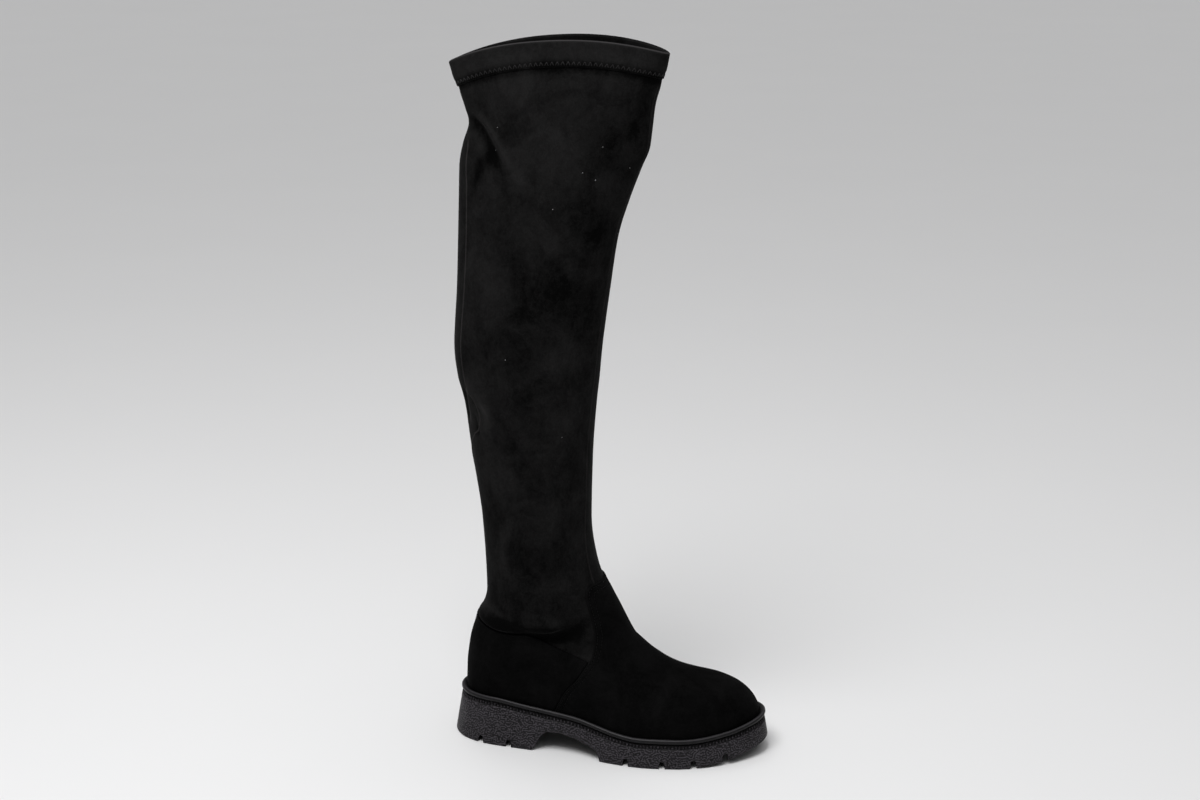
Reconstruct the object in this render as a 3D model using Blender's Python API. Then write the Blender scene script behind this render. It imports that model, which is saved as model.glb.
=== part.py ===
"""Stretch boot for the right foot, over the knee, standing empty on its sole.

Frame: +X to the toe, +Y to the inner side of the foot, +Z up, in metres, with the
origin at the bottom centre of the boot. The shapes are worked out in millimetres in
the frame of the last, where x runs from the back of the heel to the tip of the toe.
"""
import math
from collections import namedtuple

import bmesh
import bpy
import numpy as np

METRE = 0.001

# Driving sizes, in millimetres
SOLE_LENGTH = 280.0
BALL_WIDTH = 107.5
HEEL_HEIGHT = 39.5
BALL_HEIGHT = 21.5
INSTEP_HEIGHT = 149.0
SHAFT_HEIGHT = 603.5
TOE_SPRING = 11.4
TOE_SWING = 5.5
WALL = 1.6
PANEL = 1.3
GAP = 0.35
SEAT_GAP = 0.3

# Sizes of the pattern that the section tables are drawn for, graded to the sizes above
PATTERN_LENGTH = 280.0
PATTERN_INSTEP = 149.0
PATTERN_SHAFT = 603.5

# Mesh fineness
SIDE_STEPS = 12
COLUMN_CROWD = 0.06
SHAFT_ROW = 30.0
FOOT_ROW = 17.0
FINE = 90
SNAP = 0.5
SOLE_TURNS = 37
INSOLE_TURNS = 37
STATION_CLEAR = 1.5

# Ground outline of the sole: shares of the length and of the ball width from the axis
Outline = namedtuple("Outline", "along outer inner")
OUTLINE = (
    Outline(0.000, 0.000, 0.000),
    Outline(0.018, 0.162, 0.162),
    Outline(0.054, 0.264, 0.267),
    Outline(0.129, 0.344, 0.335),
    Outline(0.268, 0.387, 0.321),
    Outline(0.393, 0.415, 0.307),
    Outline(0.536, 0.496, 0.381),
    Outline(0.643, 0.531, 0.456),
    Outline(0.732, 0.518, 0.484),
    Outline(0.821, 0.464, 0.460),
    Outline(0.893, 0.373, 0.387),
    Outline(0.946, 0.265, 0.284),
    Outline(0.982, 0.156, 0.172),
    Outline(1.000, 0.000, 0.000),
)

# Top of the sole: share of the length, and share of the way up from ball to heel height
SeatLine = namedtuple("SeatLine", "along lift")
SEAT_LINE = (
    SeatLine(0.00, 1.00),
    SeatLine(0.15, 0.98),
    SeatLine(0.25, 0.81),
    SeatLine(0.35, 0.64),
    SeatLine(0.43, 0.49),
    SeatLine(0.50, 0.28),
    SeatLine(0.56, 0.09),
    SeatLine(0.62, 0.00),
    SeatLine(0.76, 0.00),
    SeatLine(0.89, 0.21),
    SeatLine(1.00, 0.60),
)

# Underside between heel and forefoot tread: breast of the heel, arch, step to the tread
Shank = namedtuple("Shank", "x height")
SHANK = (
    Shank(77.5, 0.0),
    Shank(81.0, 5.0),
    Shank(85.0, 12.5),
    Shank(90.5, 18.0),
    Shank(103.0, 18.0),
    Shank(116.0, 15.5),
    Shank(128.0, 12.0),
    Shank(137.0, 8.5),
    Shank(139.5, 4.0),
    Shank(140.5, 0.0),
)
HEEL_GROOVES = (30.0, 56.5)
FOREFOOT_GROOVES = (164.0, 196.0, 223.0, 249.0)
GROOVE_HALF_WIDTH = 2.6
GROOVE_DEPTH = 6.0
SPRING_START = 205.0
SIDE_FLARE = 0.17
EDGE_BEVEL = 1.5
RIB_BAND = 3.4
RIB_STEP = 0.9
RIM_GROOVE = 0.8
WELT_HEIGHT = 3.8
WELT_WIDTH = 4.4
WELT_CLEAR = 0.7
INSOLE_THICKNESS = 3.0
INSOLE_CLEAR = 1.8

# The upper stands this far inside the ground outline at heel and toe
FEATHER_INSET_HEEL = 12.3
FEATHER_INSET_TOE = 9.2

# Closed sections down the shaft and round the back of the heel. Each lies in the plane
# from its back point to its front point; rise lifts its sides, roll is how far the slouch
# over the counter hangs out beside the ankle, and blunt squares the back.
Shaft = namedtuple("Shaft", "back_x back_z front_x front_z half_width rise roll blunt")
HEEL_FEATHER = Shaft(12.3, 39.8, 162.2, 98.1, 35.0, 0.0, 0.0, 2.6)
SHAFT = (
    Shaft(7.0, 593.0, 186.5, 603.5, 23.5, 15.5, 0.0, 2.2),
    Shaft(13.0, 573.5, 182.5, 584.0, 27.5, 15.5, 0.0, 2.2),
    Shaft(18.8, 556.0, 176.5, 562.0, 30.0, 12.0, 0.0, 2.2),
    Shaft(21.5, 544.0, 174.5, 545.0, 31.4, 8.0, 0.0, 2.2),
    Shaft(16.5, 528.0, 172.3, 528.0, 32.6, 5.0, 0.0, 2.2),
    Shaft(13.0, 510.0, 165.5, 511.0, 33.4, 2.5, 0.0, 2.2),
    Shaft(12.0, 483.0, 155.0, 483.0, 34.6, 0.0, 0.0, 2.2),
    Shaft(11.0, 455.0, 146.5, 455.0, 36.0, 0.0, 0.0, 2.2),
    Shaft(9.2, 410.0, 139.5, 410.0, 38.3, 0.0, 0.0, 2.2),
    Shaft(5.8, 357.0, 132.5, 357.0, 40.0, 0.0, 0.0, 2.2),
    Shaft(8.0, 332.0, 130.2, 332.0, 39.8, 0.0, 0.0, 2.2),
    Shaft(13.5, 310.0, 127.8, 310.0, 39.3, 0.0, 0.0, 2.2),
    Shaft(20.0, 262.0, 124.3, 262.0, 38.2, 0.0, 0.0, 2.2),
    Shaft(28.0, 204.0, 123.0, 206.0, 36.8, 0.0, 0.0, 2.2),
    Shaft(30.5, 160.0, 128.0, 168.0, 36.5, -1.0, 0.6, 2.2),
    Shaft(31.0, 138.0, 134.5, 148.5, 36.8, -4.0, 2.0, 2.2),
    Shaft(28.5, 125.5, 139.1, 140.0, 37.0, -8.0, 4.6, 2.3),
    Shaft(25.2, 119.2, 142.0, 134.6, 36.8, -11.5, 6.2, 2.4),
    Shaft(23.0, 115.6, 144.3, 130.4, 36.6, -13.0, 5.2, 2.4),
    Shaft(23.1, 113.2, 146.8, 125.8, 36.4, -12.5, 1.0, 2.4),
    Shaft(21.3, 105.5, 149.8, 120.3, 36.0, -9.0, 0.0, 2.5),
    Shaft(17.2, 92.0, 153.0, 114.4, 35.6, -4.0, 0.0, 2.6),
    Shaft(13.6, 70.0, 156.4, 108.0, 35.2, 0.0, 0.0, 2.6),
    Shaft(12.4, 52.0, 159.4, 102.4, 35.0, 0.0, 0.0, 2.6),
    HEEL_FEATHER,
)
ROLL_END = 0.55
ROLL_FADE = 0.28
ROLL_TUCK = 19
COUNTER_ROW = 19.0
VAMP_ROW = 12.0
SHAFT_SHARE = 0.5
SHAFT_ROUND = 2.15

# Open sections along the feather edge to the toe. Each starts on the edge of the sole at
# base_x and ends at its crown. From the height share upwards it closes over the foot, and
# its crown lies ridge towards the inner side.
Foot = namedtuple("Foot", "base_x crown_x crown_z share round ridge")
FOOT = (
    Foot(13.9, 163.0, 97.3, 0.60, 2.1, 0.2),
    Foot(18.7, 164.0, 96.2, 0.59, 2.1, 0.4),
    Foot(26.0, 165.3, 94.8, 0.58, 2.1, 0.6),
    Foot(35.0, 166.9, 93.2, 0.56, 2.1, 0.8),
    Foot(58.0, 170.7, 89.4, 0.50, 2.1, 1.2),
    Foot(92.0, 176.2, 84.2, 0.41, 2.1, 1.6),
    Foot(122.0, 182.5, 79.1, 0.34, 2.1, 2.1),
    Foot(148.0, 190.0, 73.9, 0.27, 2.1, 2.6),
    Foot(173.0, 200.0, 69.0, 0.22, 2.1, 3.0),
    Foot(198.0, 213.0, 64.7, 0.20, 2.2, 3.0),
    Foot(222.0, 232.0, 61.2, 0.20, 2.3, 2.5),
    Foot(242.0, 247.8, 57.0, 0.20, 2.3, 1.5),
    Foot(255.0, 258.3, 51.8, 0.20, 2.3, 0.8),
    Foot(263.5, 264.9, 46.0, 0.20, 2.2, 0.3),
    Foot(268.4, 268.8, 40.2, 0.20, 2.1, 0.0),
    Foot(270.2, 270.3, 35.6, 0.20, 2.0, 0.0),
    Foot(270.8, 270.8, 31.7, 0.20, 2.0, 0.0),
)

# How much wider than its lower edge the upper is above the sole, as a share of that width
Swell = namedtuple("Swell", "x outer inner")
SWELL = (
    Swell(12.0, 0.34, 0.46),
    Swell(35.0, 0.33, 0.46),
    Swell(58.0, 0.25, 0.44),
    Swell(92.0, 0.13, 0.36),
    Swell(122.0, 0.06, 0.25),
    Swell(148.0, 0.02, 0.14),
    Swell(173.0, 0.01, 0.07),
    Swell(205.0, 0.01, 0.03),
    Swell(271.0, 0.02, 0.02),
)
SWELL_HEIGHT = 34.0

# Pattern lines of the overlays, as the boot is seen from its side
VampEdge = namedtuple("VampEdge", "height x")
VAMP_EDGE = (
    VampEdge(30.0, 95.0),
    VampEdge(54.0, 106.0),
    VampEdge(69.0, 118.0),
    VampEdge(80.0, 125.0),
    VampEdge(91.0, 131.0),
    VampEdge(104.0, 132.0),
    VampEdge(121.0, 129.0),
    VampEdge(142.0, 123.5),
    VampEdge(160.0, 122.0),
)
VAMP_TAB_TOP = 151.0
CounterTop = namedtuple("CounterTop", "x height")
COUNTER_TOP = (
    CounterTop(10.0, 118.0),
    CounterTop(38.0, 118.0),
    CounterTop(53.0, 115.0),
    CounterTop(68.0, 109.0),
    CounterTop(86.0, 102.5),
    CounterTop(104.0, 95.3),
    CounterTop(132.0, 83.5),
)
SEAM_GAP = 0.5
ROW_REACH = 10.0

# Turned hem round the collar
BAND = 1.2
HEM_ROW = 1.0


def smooth(knots, values, where):
    """Monotone cubic through the rows of a table: it never overshoots between two rows."""
    knots = np.asarray(knots, float)
    values = np.asarray(values, float)
    where = np.asarray(where, float)
    step = np.diff(knots)
    slope = np.diff(values) / step
    both = slope[:-1] * slope[1:]
    total = slope[:-1] + slope[1:]
    tangent = np.empty_like(values)
    tangent[0] = slope[0]
    tangent[-1] = slope[-1]
    tangent[1:-1] = np.where(both > 0.0, 2.0 * both / np.where(both > 0.0, total, 1.0), 0.0)
    cell = np.clip(np.searchsorted(knots, where, side="right") - 1, 0, len(knots) - 2)
    u = (where - knots[cell]) / step[cell]
    start = values[cell] * (1 + 2 * u) * (1 - u) ** 2 + tangent[cell] * step[cell] * u * (1 - u) ** 2
    end = values[cell + 1] * u * u * (3 - 2 * u) + tangent[cell + 1] * step[cell] * u * u * (u - 1)
    return start + end


def column(table, name):
    return [getattr(row, name) for row in table]


def turn_of(x):
    """Angle of a station: equal steps of it crowd the stations at the round ends."""
    return np.arccos(np.clip(1.0 - 2.0 * np.asarray(x, float) / SOLE_LENGTH, -1.0, 1.0))


def station_of(turn):
    return SOLE_LENGTH * (1.0 - np.cos(turn)) / 2.0


def ease(share):
    """Smooth step from nothing to one."""
    share = np.clip(share, 0.0, 1.0)
    return share * share * (3.0 - 2.0 * share)


def axis_y(x):
    """The middle line of the sole swings to the inner side towards the toe."""
    return TOE_SWING * ease((np.asarray(x, float) / SOLE_LENGTH - 0.5) / 0.5)


def half_width(x, side):
    name = "inner" if side > 0 else "outer"
    turns = turn_of(np.array(column(OUTLINE, "along")) * SOLE_LENGTH)
    return BALL_WIDTH * smooth(turns, column(OUTLINE, name), turn_of(x))


def outline_side(turns, side, inset):
    """Points of the outline along one side, moved in by inset along its own normal."""
    def at(turn):
        x = station_of(turn)
        return np.stack([x, axis_y(x) + side * half_width(x, side)], axis=-1)

    small = 1e-3
    low = np.clip(turns - small, 0.0, math.pi)
    high = np.clip(turns + small, 0.0, math.pi)
    tangent = at(high) - at(low)
    tangent[0] = (0.0, side)
    tangent[-1] = (0.0, -side)
    tangent /= np.linalg.norm(tangent, axis=1, keepdims=True)
    outward = side * np.stack([-tangent[:, 1], tangent[:, 0]], axis=-1)
    return at(turns) - outward * np.reshape(inset, (-1, 1)), outward


def seat_z(x):
    """Height of the top of the sole."""
    rows = np.array(column(SEAT_LINE, "along")) * SOLE_LENGTH
    return BALL_HEIGHT + (HEEL_HEIGHT - BALL_HEIGHT) * smooth(rows, column(SEAT_LINE, "lift"), x)


FEATHER_TURNS = np.linspace(0.0, math.pi, 241)


def feather_side(side):
    x = station_of(FEATHER_TURNS)
    share = x / SOLE_LENGTH
    inset = FEATHER_INSET_HEEL + (FEATHER_INSET_TOE - FEATHER_INSET_HEEL) * share
    return outline_side(FEATHER_TURNS, side, inset)[0]


FEATHER = {side: feather_side(side) for side in (-1, 1)}


def feather_half(x, side):
    """Half width of the upper's lower edge, from the axis of the sole."""
    edge = FEATHER[side]
    return np.maximum(side * (np.interp(x, edge[:, 0], edge[:, 1]) - axis_y(x)), 0.0)


Section = namedtuple("Section", "back_x back_z crown_x crown_z half_width rise roll blunt "
                     "reach round ridge")


def graded_z(z):
    """Heights above the instep follow the shaft, those below follow the instep."""
    if z <= PATTERN_INSTEP:
        return z * INSTEP_HEIGHT / PATTERN_INSTEP
    share = (z - PATTERN_INSTEP) / (PATTERN_SHAFT - PATTERN_INSTEP)
    return INSTEP_HEIGHT + share * (SHAFT_HEIGHT - INSTEP_HEIGHT)


def foot_section(row):
    """An open section; reach is how far from its crown it starts to close over the foot."""
    grade = SOLE_LENGTH / PATTERN_LENGTH
    base_x = row.base_x * grade
    base_z = float(seat_z(base_x)) + SEAT_GAP
    crown_x = row.crown_x * grade
    crown_z = graded_z(row.crown_z)
    reach = (1.0 - row.share) * math.hypot(crown_x - base_x, crown_z - base_z)
    return Section(base_x, base_z, crown_x, crown_z,
                   HEEL_FEATHER.half_width, HEEL_FEATHER.rise, HEEL_FEATHER.roll, HEEL_FEATHER.blunt,
                   reach, row.round, row.ridge)


def shaft_section(row):
    """A closed section; what it needs of the foot is that of the first open section."""
    grade = SOLE_LENGTH / PATTERN_LENGTH
    heel = foot_section(FOOT[0])
    return heel._replace(back_x=row.back_x * grade, back_z=graded_z(row.back_z),
                         crown_x=row.front_x * grade, crown_z=graded_z(row.front_z),
                         half_width=row.half_width, rise=row.rise, roll=row.roll, blunt=row.blunt,
                         ridge=0.0)


SECTIONS = [shaft_section(row) for row in SHAFT] + [foot_section(row) for row in FOOT]
HEEL_ROW = len(SHAFT) - 1
TOE_ROW = len(SECTIONS) - 1
COLUMNS = 2 * SIDE_STEPS + 1
HEEL_BACK = SECTIONS[ROLL_TUCK:HEEL_ROW + 1][::-1]


def heel_shift(z):
    """How far the back of the heel lies in front of its lowest point."""
    return np.interp(z, column(HEEL_BACK, "back_z"), column(HEEL_BACK, "back_x")) - HEEL_BACK[0].back_x


def swell_at(x, z, side):
    """Factor by which the upper is wider at a height than along its lower edge."""
    spots = column(SWELL, "x")
    place = np.clip(x * PATTERN_LENGTH / SOLE_LENGTH, spots[0], spots[-1])
    share = smooth(spots, column(SWELL, "inner" if side > 0 else "outer"), place)
    return 1.0 + share * (1.0 - np.exp(-np.maximum(z - seat_z(x), 0.0) / SWELL_HEIGHT))


def section_at(t):
    rows = np.arange(len(SECTIONS))
    return Section(*(float(smooth(rows, column(SECTIONS, name), t)) for name in Section._fields))


def closing(share, start, power):
    """Superellipse quarter: one up to start, then down to nothing at the end."""
    reach = np.clip((share - start) / (1.0 - start), 0.0, 1.0)
    return (1.0 - reach ** power) ** (1.0 / power)


def half_section(t, side):
    """Fine points of one half of a section, from its base or back to its crown."""
    section = section_at(t)
    if t > HEEL_ROW:
        section = section._replace(back_z=float(seat_z(section.back_x)) + SEAT_GAP)
    share = (1.0 - np.cos(math.pi * np.linspace(0.0, 1.0, FINE))) / 2.0
    x = section.back_x + share * (section.crown_x - section.back_x)
    z = section.back_z + share * (section.crown_z - section.back_z)
    back = closing(1.0 - share, 1.0 - SHAFT_SHARE, section.blunt)
    fade = 1.0 - ease((share - ROLL_END) / ROLL_FADE)
    wide = section.half_width + section.roll * fade
    shaft = wide * back * closing(share, SHAFT_SHARE, SHAFT_ROUND)
    foot = feather_half(x - heel_shift(z), side) * swell_at(x, z, side)
    depth = math.hypot(section.crown_x - section.back_x, section.crown_z - section.back_z) + 1e-9
    foot = foot * closing(share, max(1.0 - section.reach / depth, 0.0), section.round)
    blend = ease((t - ROLL_TUCK) / (HEEL_ROW - ROLL_TUCK))
    y = shaft + (foot - shaft) * blend
    lift = section.rise * (y / wide) ** 2 / depth
    if section.rise < 0.0:
        lift = lift * fade
    points = np.empty((FINE, 3))
    points[:, 0] = x - lift * (section.crown_z - section.back_z)
    points[:, 1] = blend * axis_y(x) + section.ridge * share ** 2 + side * y
    points[:, 2] = z + lift * (section.crown_x - section.back_x)
    return points


def even(points, shares):
    """Points of a fine line at equal shares of its length, with its direction there."""
    steps = np.linalg.norm(np.diff(points, axis=0), axis=1)
    reach = np.concatenate([[0.0], np.cumsum(steps)])
    wanted = shares * reach[-1]
    spot = np.stack([np.interp(wanted, reach, points[:, k]) for k in range(3)], axis=-1)
    cell = np.clip(np.searchsorted(reach, wanted), 1, len(steps)) - 1
    way = np.diff(points, axis=0)[cell] / np.maximum(steps[cell], 1e-9)[:, None]
    return spot, way


def section_line(t):
    """One section of the upper: outer base or back, over the crown, to the inner side."""
    even_shares = np.linspace(0.0, 1.0, SIDE_STEPS + 1)
    shares = even_shares - COLUMN_CROWD * np.sin(2.0 * math.pi * even_shares)
    outer, outer_way = even(half_section(t, -1), shares)
    inner, inner_way = even(half_section(t, 1), shares)
    points = np.concatenate([outer, inner[-2::-1]])
    ways = np.concatenate([outer_way, -inner_way[-2::-1]])
    ways[SIDE_STEPS] = (0.0, 1.0, 0.0)
    if t <= HEEL_ROW:
        ways[0] = (0.0, -1.0, 0.0)
        ways[-1] = (0.0, -1.0, 0.0)
    return points, ways


def skin(t):
    """Points of one section of the upper's outer face, with the normals there."""
    near = 0.02
    inside = min(t, TOE_ROW - 4.0 * near)
    points = section_line(t)[0]
    ways = section_line(inside)[1]
    before = section_line(max(inside - near, 0.0))[0]
    after = section_line(min(inside + near, TOE_ROW))[0]
    normals = np.cross(after - before, ways)
    if t >= TOE_ROW:
        normals[:] = (1.0, 0.0, 0.0)
    normals /= np.maximum(np.linalg.norm(normals, axis=1, keepdims=True), 1e-12)
    return points, normals


def row_positions():
    """Section numbers with a mesh row: every table row, and more where rows lie far apart."""
    spots = []
    for index in range(TOE_ROW):
        here = SECTIONS[index]
        there = SECTIONS[index + 1]
        back = math.hypot(there.back_x - here.back_x, there.back_z - here.back_z)
        crown = math.hypot(there.crown_x - here.crown_x, there.crown_z - here.crown_z)
        longest = SHAFT_ROW if index < HEEL_ROW else FOOT_ROW
        count = math.ceil(max(back, crown) / longest)
        spots += [index + step / count for step in range(count)]
    return spots + [float(TOE_ROW)]


ROWS = row_positions()

# A face as triangles, with the place, normal and section number of each of its points
Face = namedtuple("Face", "points normals spots triangles")


def feather_numbers():
    """Numbers of the points on the upper's lower edge, once round from the heel."""
    along = [row for row, spot in enumerate(ROWS) if HEEL_ROW < spot < TOE_ROW]
    numbers = [ROWS.index(HEEL_ROW) * COLUMNS]
    numbers += [row * COLUMNS for row in along]
    numbers.append((len(ROWS) - 1) * COLUMNS)
    numbers += [row * COLUMNS + COLUMNS - 1 for row in reversed(along)]
    return numbers


def upper_face():
    """Outer face of the upper. Its two sides meet at the back down to the sole, and at the toe.

    Below the roll each patch is split so that it bulges, and at the sole the normals are level.
    """
    def number(row, col):
        meets_at_back = col == COLUMNS - 1 and ROWS[row] <= HEEL_ROW
        if meets_at_back or row == len(ROWS) - 1:
            col = 0
        return row * COLUMNS + col

    rows = [skin(t) for t in ROWS]
    points = np.concatenate([points for points, _ in rows])
    normals = np.concatenate([normals for _, normals in rows])
    triangles = []
    for row in range(len(ROWS) - 1):
        for col in range(COLUMNS - 1):
            a = number(row, col)
            b = number(row, col + 1)
            c = number(row + 1, col + 1)
            d = number(row + 1, col)
            turned = col >= SIDE_STEPS
            if ROWS[row] >= ROLL_TUCK:
                turned = np.dot(points[b] + points[d] - points[a] - points[c], normals[a]) > 0.0
            halves = ((a, b, d), (b, c, d)) if turned else ((a, b, c), (a, c, d))
            triangles += [half for half in halves if len(set(half)) == 3]
    edge = feather_numbers()
    normals[edge, 2] = 0.0
    normals[edge] /= np.linalg.norm(normals[edge], axis=1, keepdims=True)
    return Face(points, normals, np.repeat(ROWS, COLUMNS), triangles)


def cut(face, inside):
    """The part of a face where inside is above zero, its edge on the zero line of inside."""
    points = list(face.points)
    normals = list(face.normals)
    spots = list(face.spots)
    values = np.array([inside(point, spot) for point, spot in zip(points, spots)])
    values[np.abs(values) < SNAP] = 0.0
    made = {}

    def crossing(a, b):
        key = (min(a, b), max(a, b))
        if key not in made:
            low, high = (a, b) if values[a] < 0.0 else (b, a)
            near, far = 0.0, 1.0
            for _ in range(14):
                share = (near + far) / 2.0
                point = points[low] + (points[high] - points[low]) * share
                if inside(point, spots[low] + (spots[high] - spots[low]) * share) < 0.0:
                    near = share
                else:
                    far = share
            made[key] = len(points)
            normal = normals[low] + (normals[high] - normals[low]) * share
            points.append(points[low] + (points[high] - points[low]) * share)
            normals.append(normal / np.linalg.norm(normal))
            spots.append(spots[low] + (spots[high] - spots[low]) * share)
        return made[key]

    triangles = []
    for corner in face.triangles:
        if max(values[number] for number in corner) <= 0.0:
            continue
        ring = []
        for a, b in zip(corner, corner[1:] + corner[:1]):
            if values[a] >= 0.0:
                ring.append(a)
            if values[a] * values[b] < 0.0:
                ring.append(crossing(a, b))
        triangles += [(ring[0], ring[k], ring[k + 1]) for k in range(1, len(ring) - 1)]
    return Face(np.array(points), np.array(normals), np.array(spots), triangles)


def thicken(face, low, high):
    """Solid between two distances from a face, standing clear of the top of the sole."""
    used = sorted(set(number for corner in face.triangles for number in corner))
    place = {number: index for index, number in enumerate(used)}
    triangles = [tuple(place[number] for number in corner) for corner in face.triangles]
    base = face.points[used]
    normals = face.normals[used]
    count = len(used)
    points = np.concatenate([base + normals * high, base + normals * low])
    points[:, 2] = np.maximum(points[:, 2], seat_z(points[:, 0]) + SEAT_GAP)
    faces = list(triangles)
    faces += [tuple(number + count for number in reversed(corner)) for corner in triangles]
    edges = set()
    for corner in triangles:
        edges.update(zip(corner, corner[1:] + corner[:1]))
    for a, b in sorted(edges):
        if (b, a) not in edges:
            faces.append((b, a, a + count, b + count))
    return points, faces


def vamp_edge_x(z):
    heights = column(VAMP_EDGE, "height")
    return float(smooth(heights, column(VAMP_EDGE, "x"), np.clip(z, heights[0], heights[-1])))


def in_vamp(point, spot):
    """How far inside the vamp's pattern a point lies, in millimetres."""
    if spot < VAMP_ROW:
        return (spot - VAMP_ROW) * ROW_REACH
    return min(point[0] - vamp_edge_x(point[2]), VAMP_TAB_TOP - point[2])


def in_counter(point, spot):
    """How far a point lies below the counter's top line and the roll, and behind the vamp."""
    if spot < COUNTER_ROW:
        return (spot - COUNTER_ROW) * ROW_REACH
    ends = column(COUNTER_TOP, "x")
    top = float(smooth(ends, column(COUNTER_TOP, "height"), np.clip(point[0], ends[0], ends[-1])))
    behind = vamp_edge_x(point[2]) - SEAM_GAP - point[0]
    return min(top - point[2], behind)


def band_solid():
    """The turned hem: a strip folded over the rim, down to the hem line inside and out."""
    skins = [skin(t) for t in ROWS if t <= HEM_ROW]
    rim, rim_normal = skins[0]
    up = rim - skins[-1][0]
    up /= np.linalg.norm(up, axis=1, keepdims=True)
    outer = GAP + BAND
    inner = -WALL - GAP - BAND
    fold = GAP + BAND
    rings = [points + normals * outer for points, normals in reversed(skins)]
    for share in (0.86, 0.14):
        rings.append(rim + rim_normal * (inner + share * (outer - inner)) + up * fold)
    rings += [points + normals * inner for points, normals in skins]
    rings += [points + normals * (inner + BAND) for points, normals in reversed(skins)]
    for reach in (-WALL - GAP, GAP):
        rings.append(rim + rim_normal * reach + up * GAP)
    rings += [points + normals * GAP for points, normals in skins]
    leg = len(skins) + 1
    falls = ([False] * leg + [True] * leg) * 2
    return ring_solid([ring[:-1] for ring in rings], falls)


def ring_solid(rings, falls):
    """Closed tube of rings that are one closed line each; falls says which way a strip's rows run,
    so that its triangles lie on those of the upper."""
    count = len(rings[0])
    points = np.concatenate(rings)
    faces = []
    for i in range(len(rings)):
        here = i * count
        there = ((i + 1) % len(rings)) * count
        for j in range(count):
            k = (j + 1) % count
            a, b, c, d = here + j, here + k, there + k, there + j
            if falls[i] == (j < SIDE_STEPS):
                faces += [(a, b, c), (a, c, d)]
            else:
                faces += [(a, b, d), (b, c, d)]
    return points, faces


# Section of the welt's bead, in shares of its width and height
Bead = namedtuple("Bead", "out up")
BEAD = (
    Bead(0.00, 0.00),
    Bead(0.88, 0.00),
    Bead(1.00, 0.30),
    Bead(0.97, 0.68),
    Bead(0.74, 0.95),
    Bead(0.40, 1.00),
    Bead(0.00, 0.80),
)


def welt_solid(face):
    """Bead round the lower edge of the upper, its inner side leaning with the wall of the upper."""
    numbers = feather_numbers()
    points = face.points[numbers]
    outward = face.normals[numbers, :2]
    walls = np.array([skin(ROWS[number // COLUMNS])[1][number % COLUMNS] for number in numbers])
    lean = -walls[:, 2] / np.linalg.norm(walls[:, :2], axis=1)
    start = GAP + PANEL + WELT_CLEAR
    rings = []
    for bead in BEAD:
        up = bead.up * WELT_HEIGHT
        reach = start + np.maximum(lean, 0.0) * (up + SEAT_GAP) * (1.0 - bead.out) + bead.out * WELT_WIDTH
        ring = points.copy()
        ring[:, :2] += outward * reach[:, None]
        ring[:, 2] = seat_z(ring[:, 0]) + SEAT_GAP + up
        rings.append(ring)
    return ring_solid(rings, [True] * len(rings))


def tread_z(x):
    """The plane of the floor, rising in the toe spring."""
    share = np.clip((np.asarray(x, float) - SPRING_START) / (SOLE_LENGTH - SPRING_START), 0.0, 1.0)
    return TOE_SPRING * share * share


def underside_z(x):
    """Underside of the sole: tread, heel breast, arch and the round grooves between the lugs."""
    x = np.asarray(x, float)
    shank = np.interp(x, column(SHANK, "x"), column(SHANK, "height"))
    cut = np.zeros_like(x)
    for middle in HEEL_GROOVES + FOREFOOT_GROOVES:
        share = np.clip(1.0 - ((x - middle) / GROOVE_HALF_WIDTH) ** 2, 0.0, 1.0)
        cut = np.maximum(cut, GROOVE_DEPTH * np.sqrt(share))
    return tread_z(x) + np.maximum(shank, cut)


def sole_stations():
    """Stations along the sole: even turns, the rows of the shank and the edges of each groove."""
    fixed = list(column(SHANK, "x"))
    for middle in HEEL_GROOVES + FOREFOOT_GROOVES:
        fixed += [middle + share * GROOVE_HALF_WIDTH for share in (-1.0, -0.8, 0.0, 0.8, 1.0)]
    between = [spot for spot in station_of(np.linspace(0.0, math.pi, SOLE_TURNS))[1:-1]
               if min(abs(spot - other) for other in fixed) > STATION_CLEAR]
    return np.array([0.0] + sorted(fixed + between) + [SOLE_LENGTH])


def loop_from_sides(turns, inset):
    """Closed line round the sole: along the outer side to the toe and back along the inner side."""
    outer = outline_side(turns, -1, inset)[0]
    inner = outline_side(turns, 1, inset)[0]
    return np.concatenate([outer, inner[-2:0:-1]])


def capped(levels):
    """Solid of closed lines one above the other, its ends filled by strips from side to side."""
    count = len(levels[0])
    half = count // 2
    points = np.concatenate(levels)
    faces = []
    for i in range(len(levels) - 1):
        for j in range(count):
            k = (j + 1) % count
            faces.append([i * count + j, i * count + k, (i + 1) * count + k, (i + 1) * count + j])
    for base, turned in ((0, True), ((len(levels) - 1) * count, False)):
        for j in range(half):
            ends = [base + j, base + j + 1, base + (count - j - 1) % count, base + (count - j) % count]
            ends = list(dict.fromkeys(ends))
            if len(ends) > 2:
                faces.append(ends[::-1] if turned else ends)
    return points, faces


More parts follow.
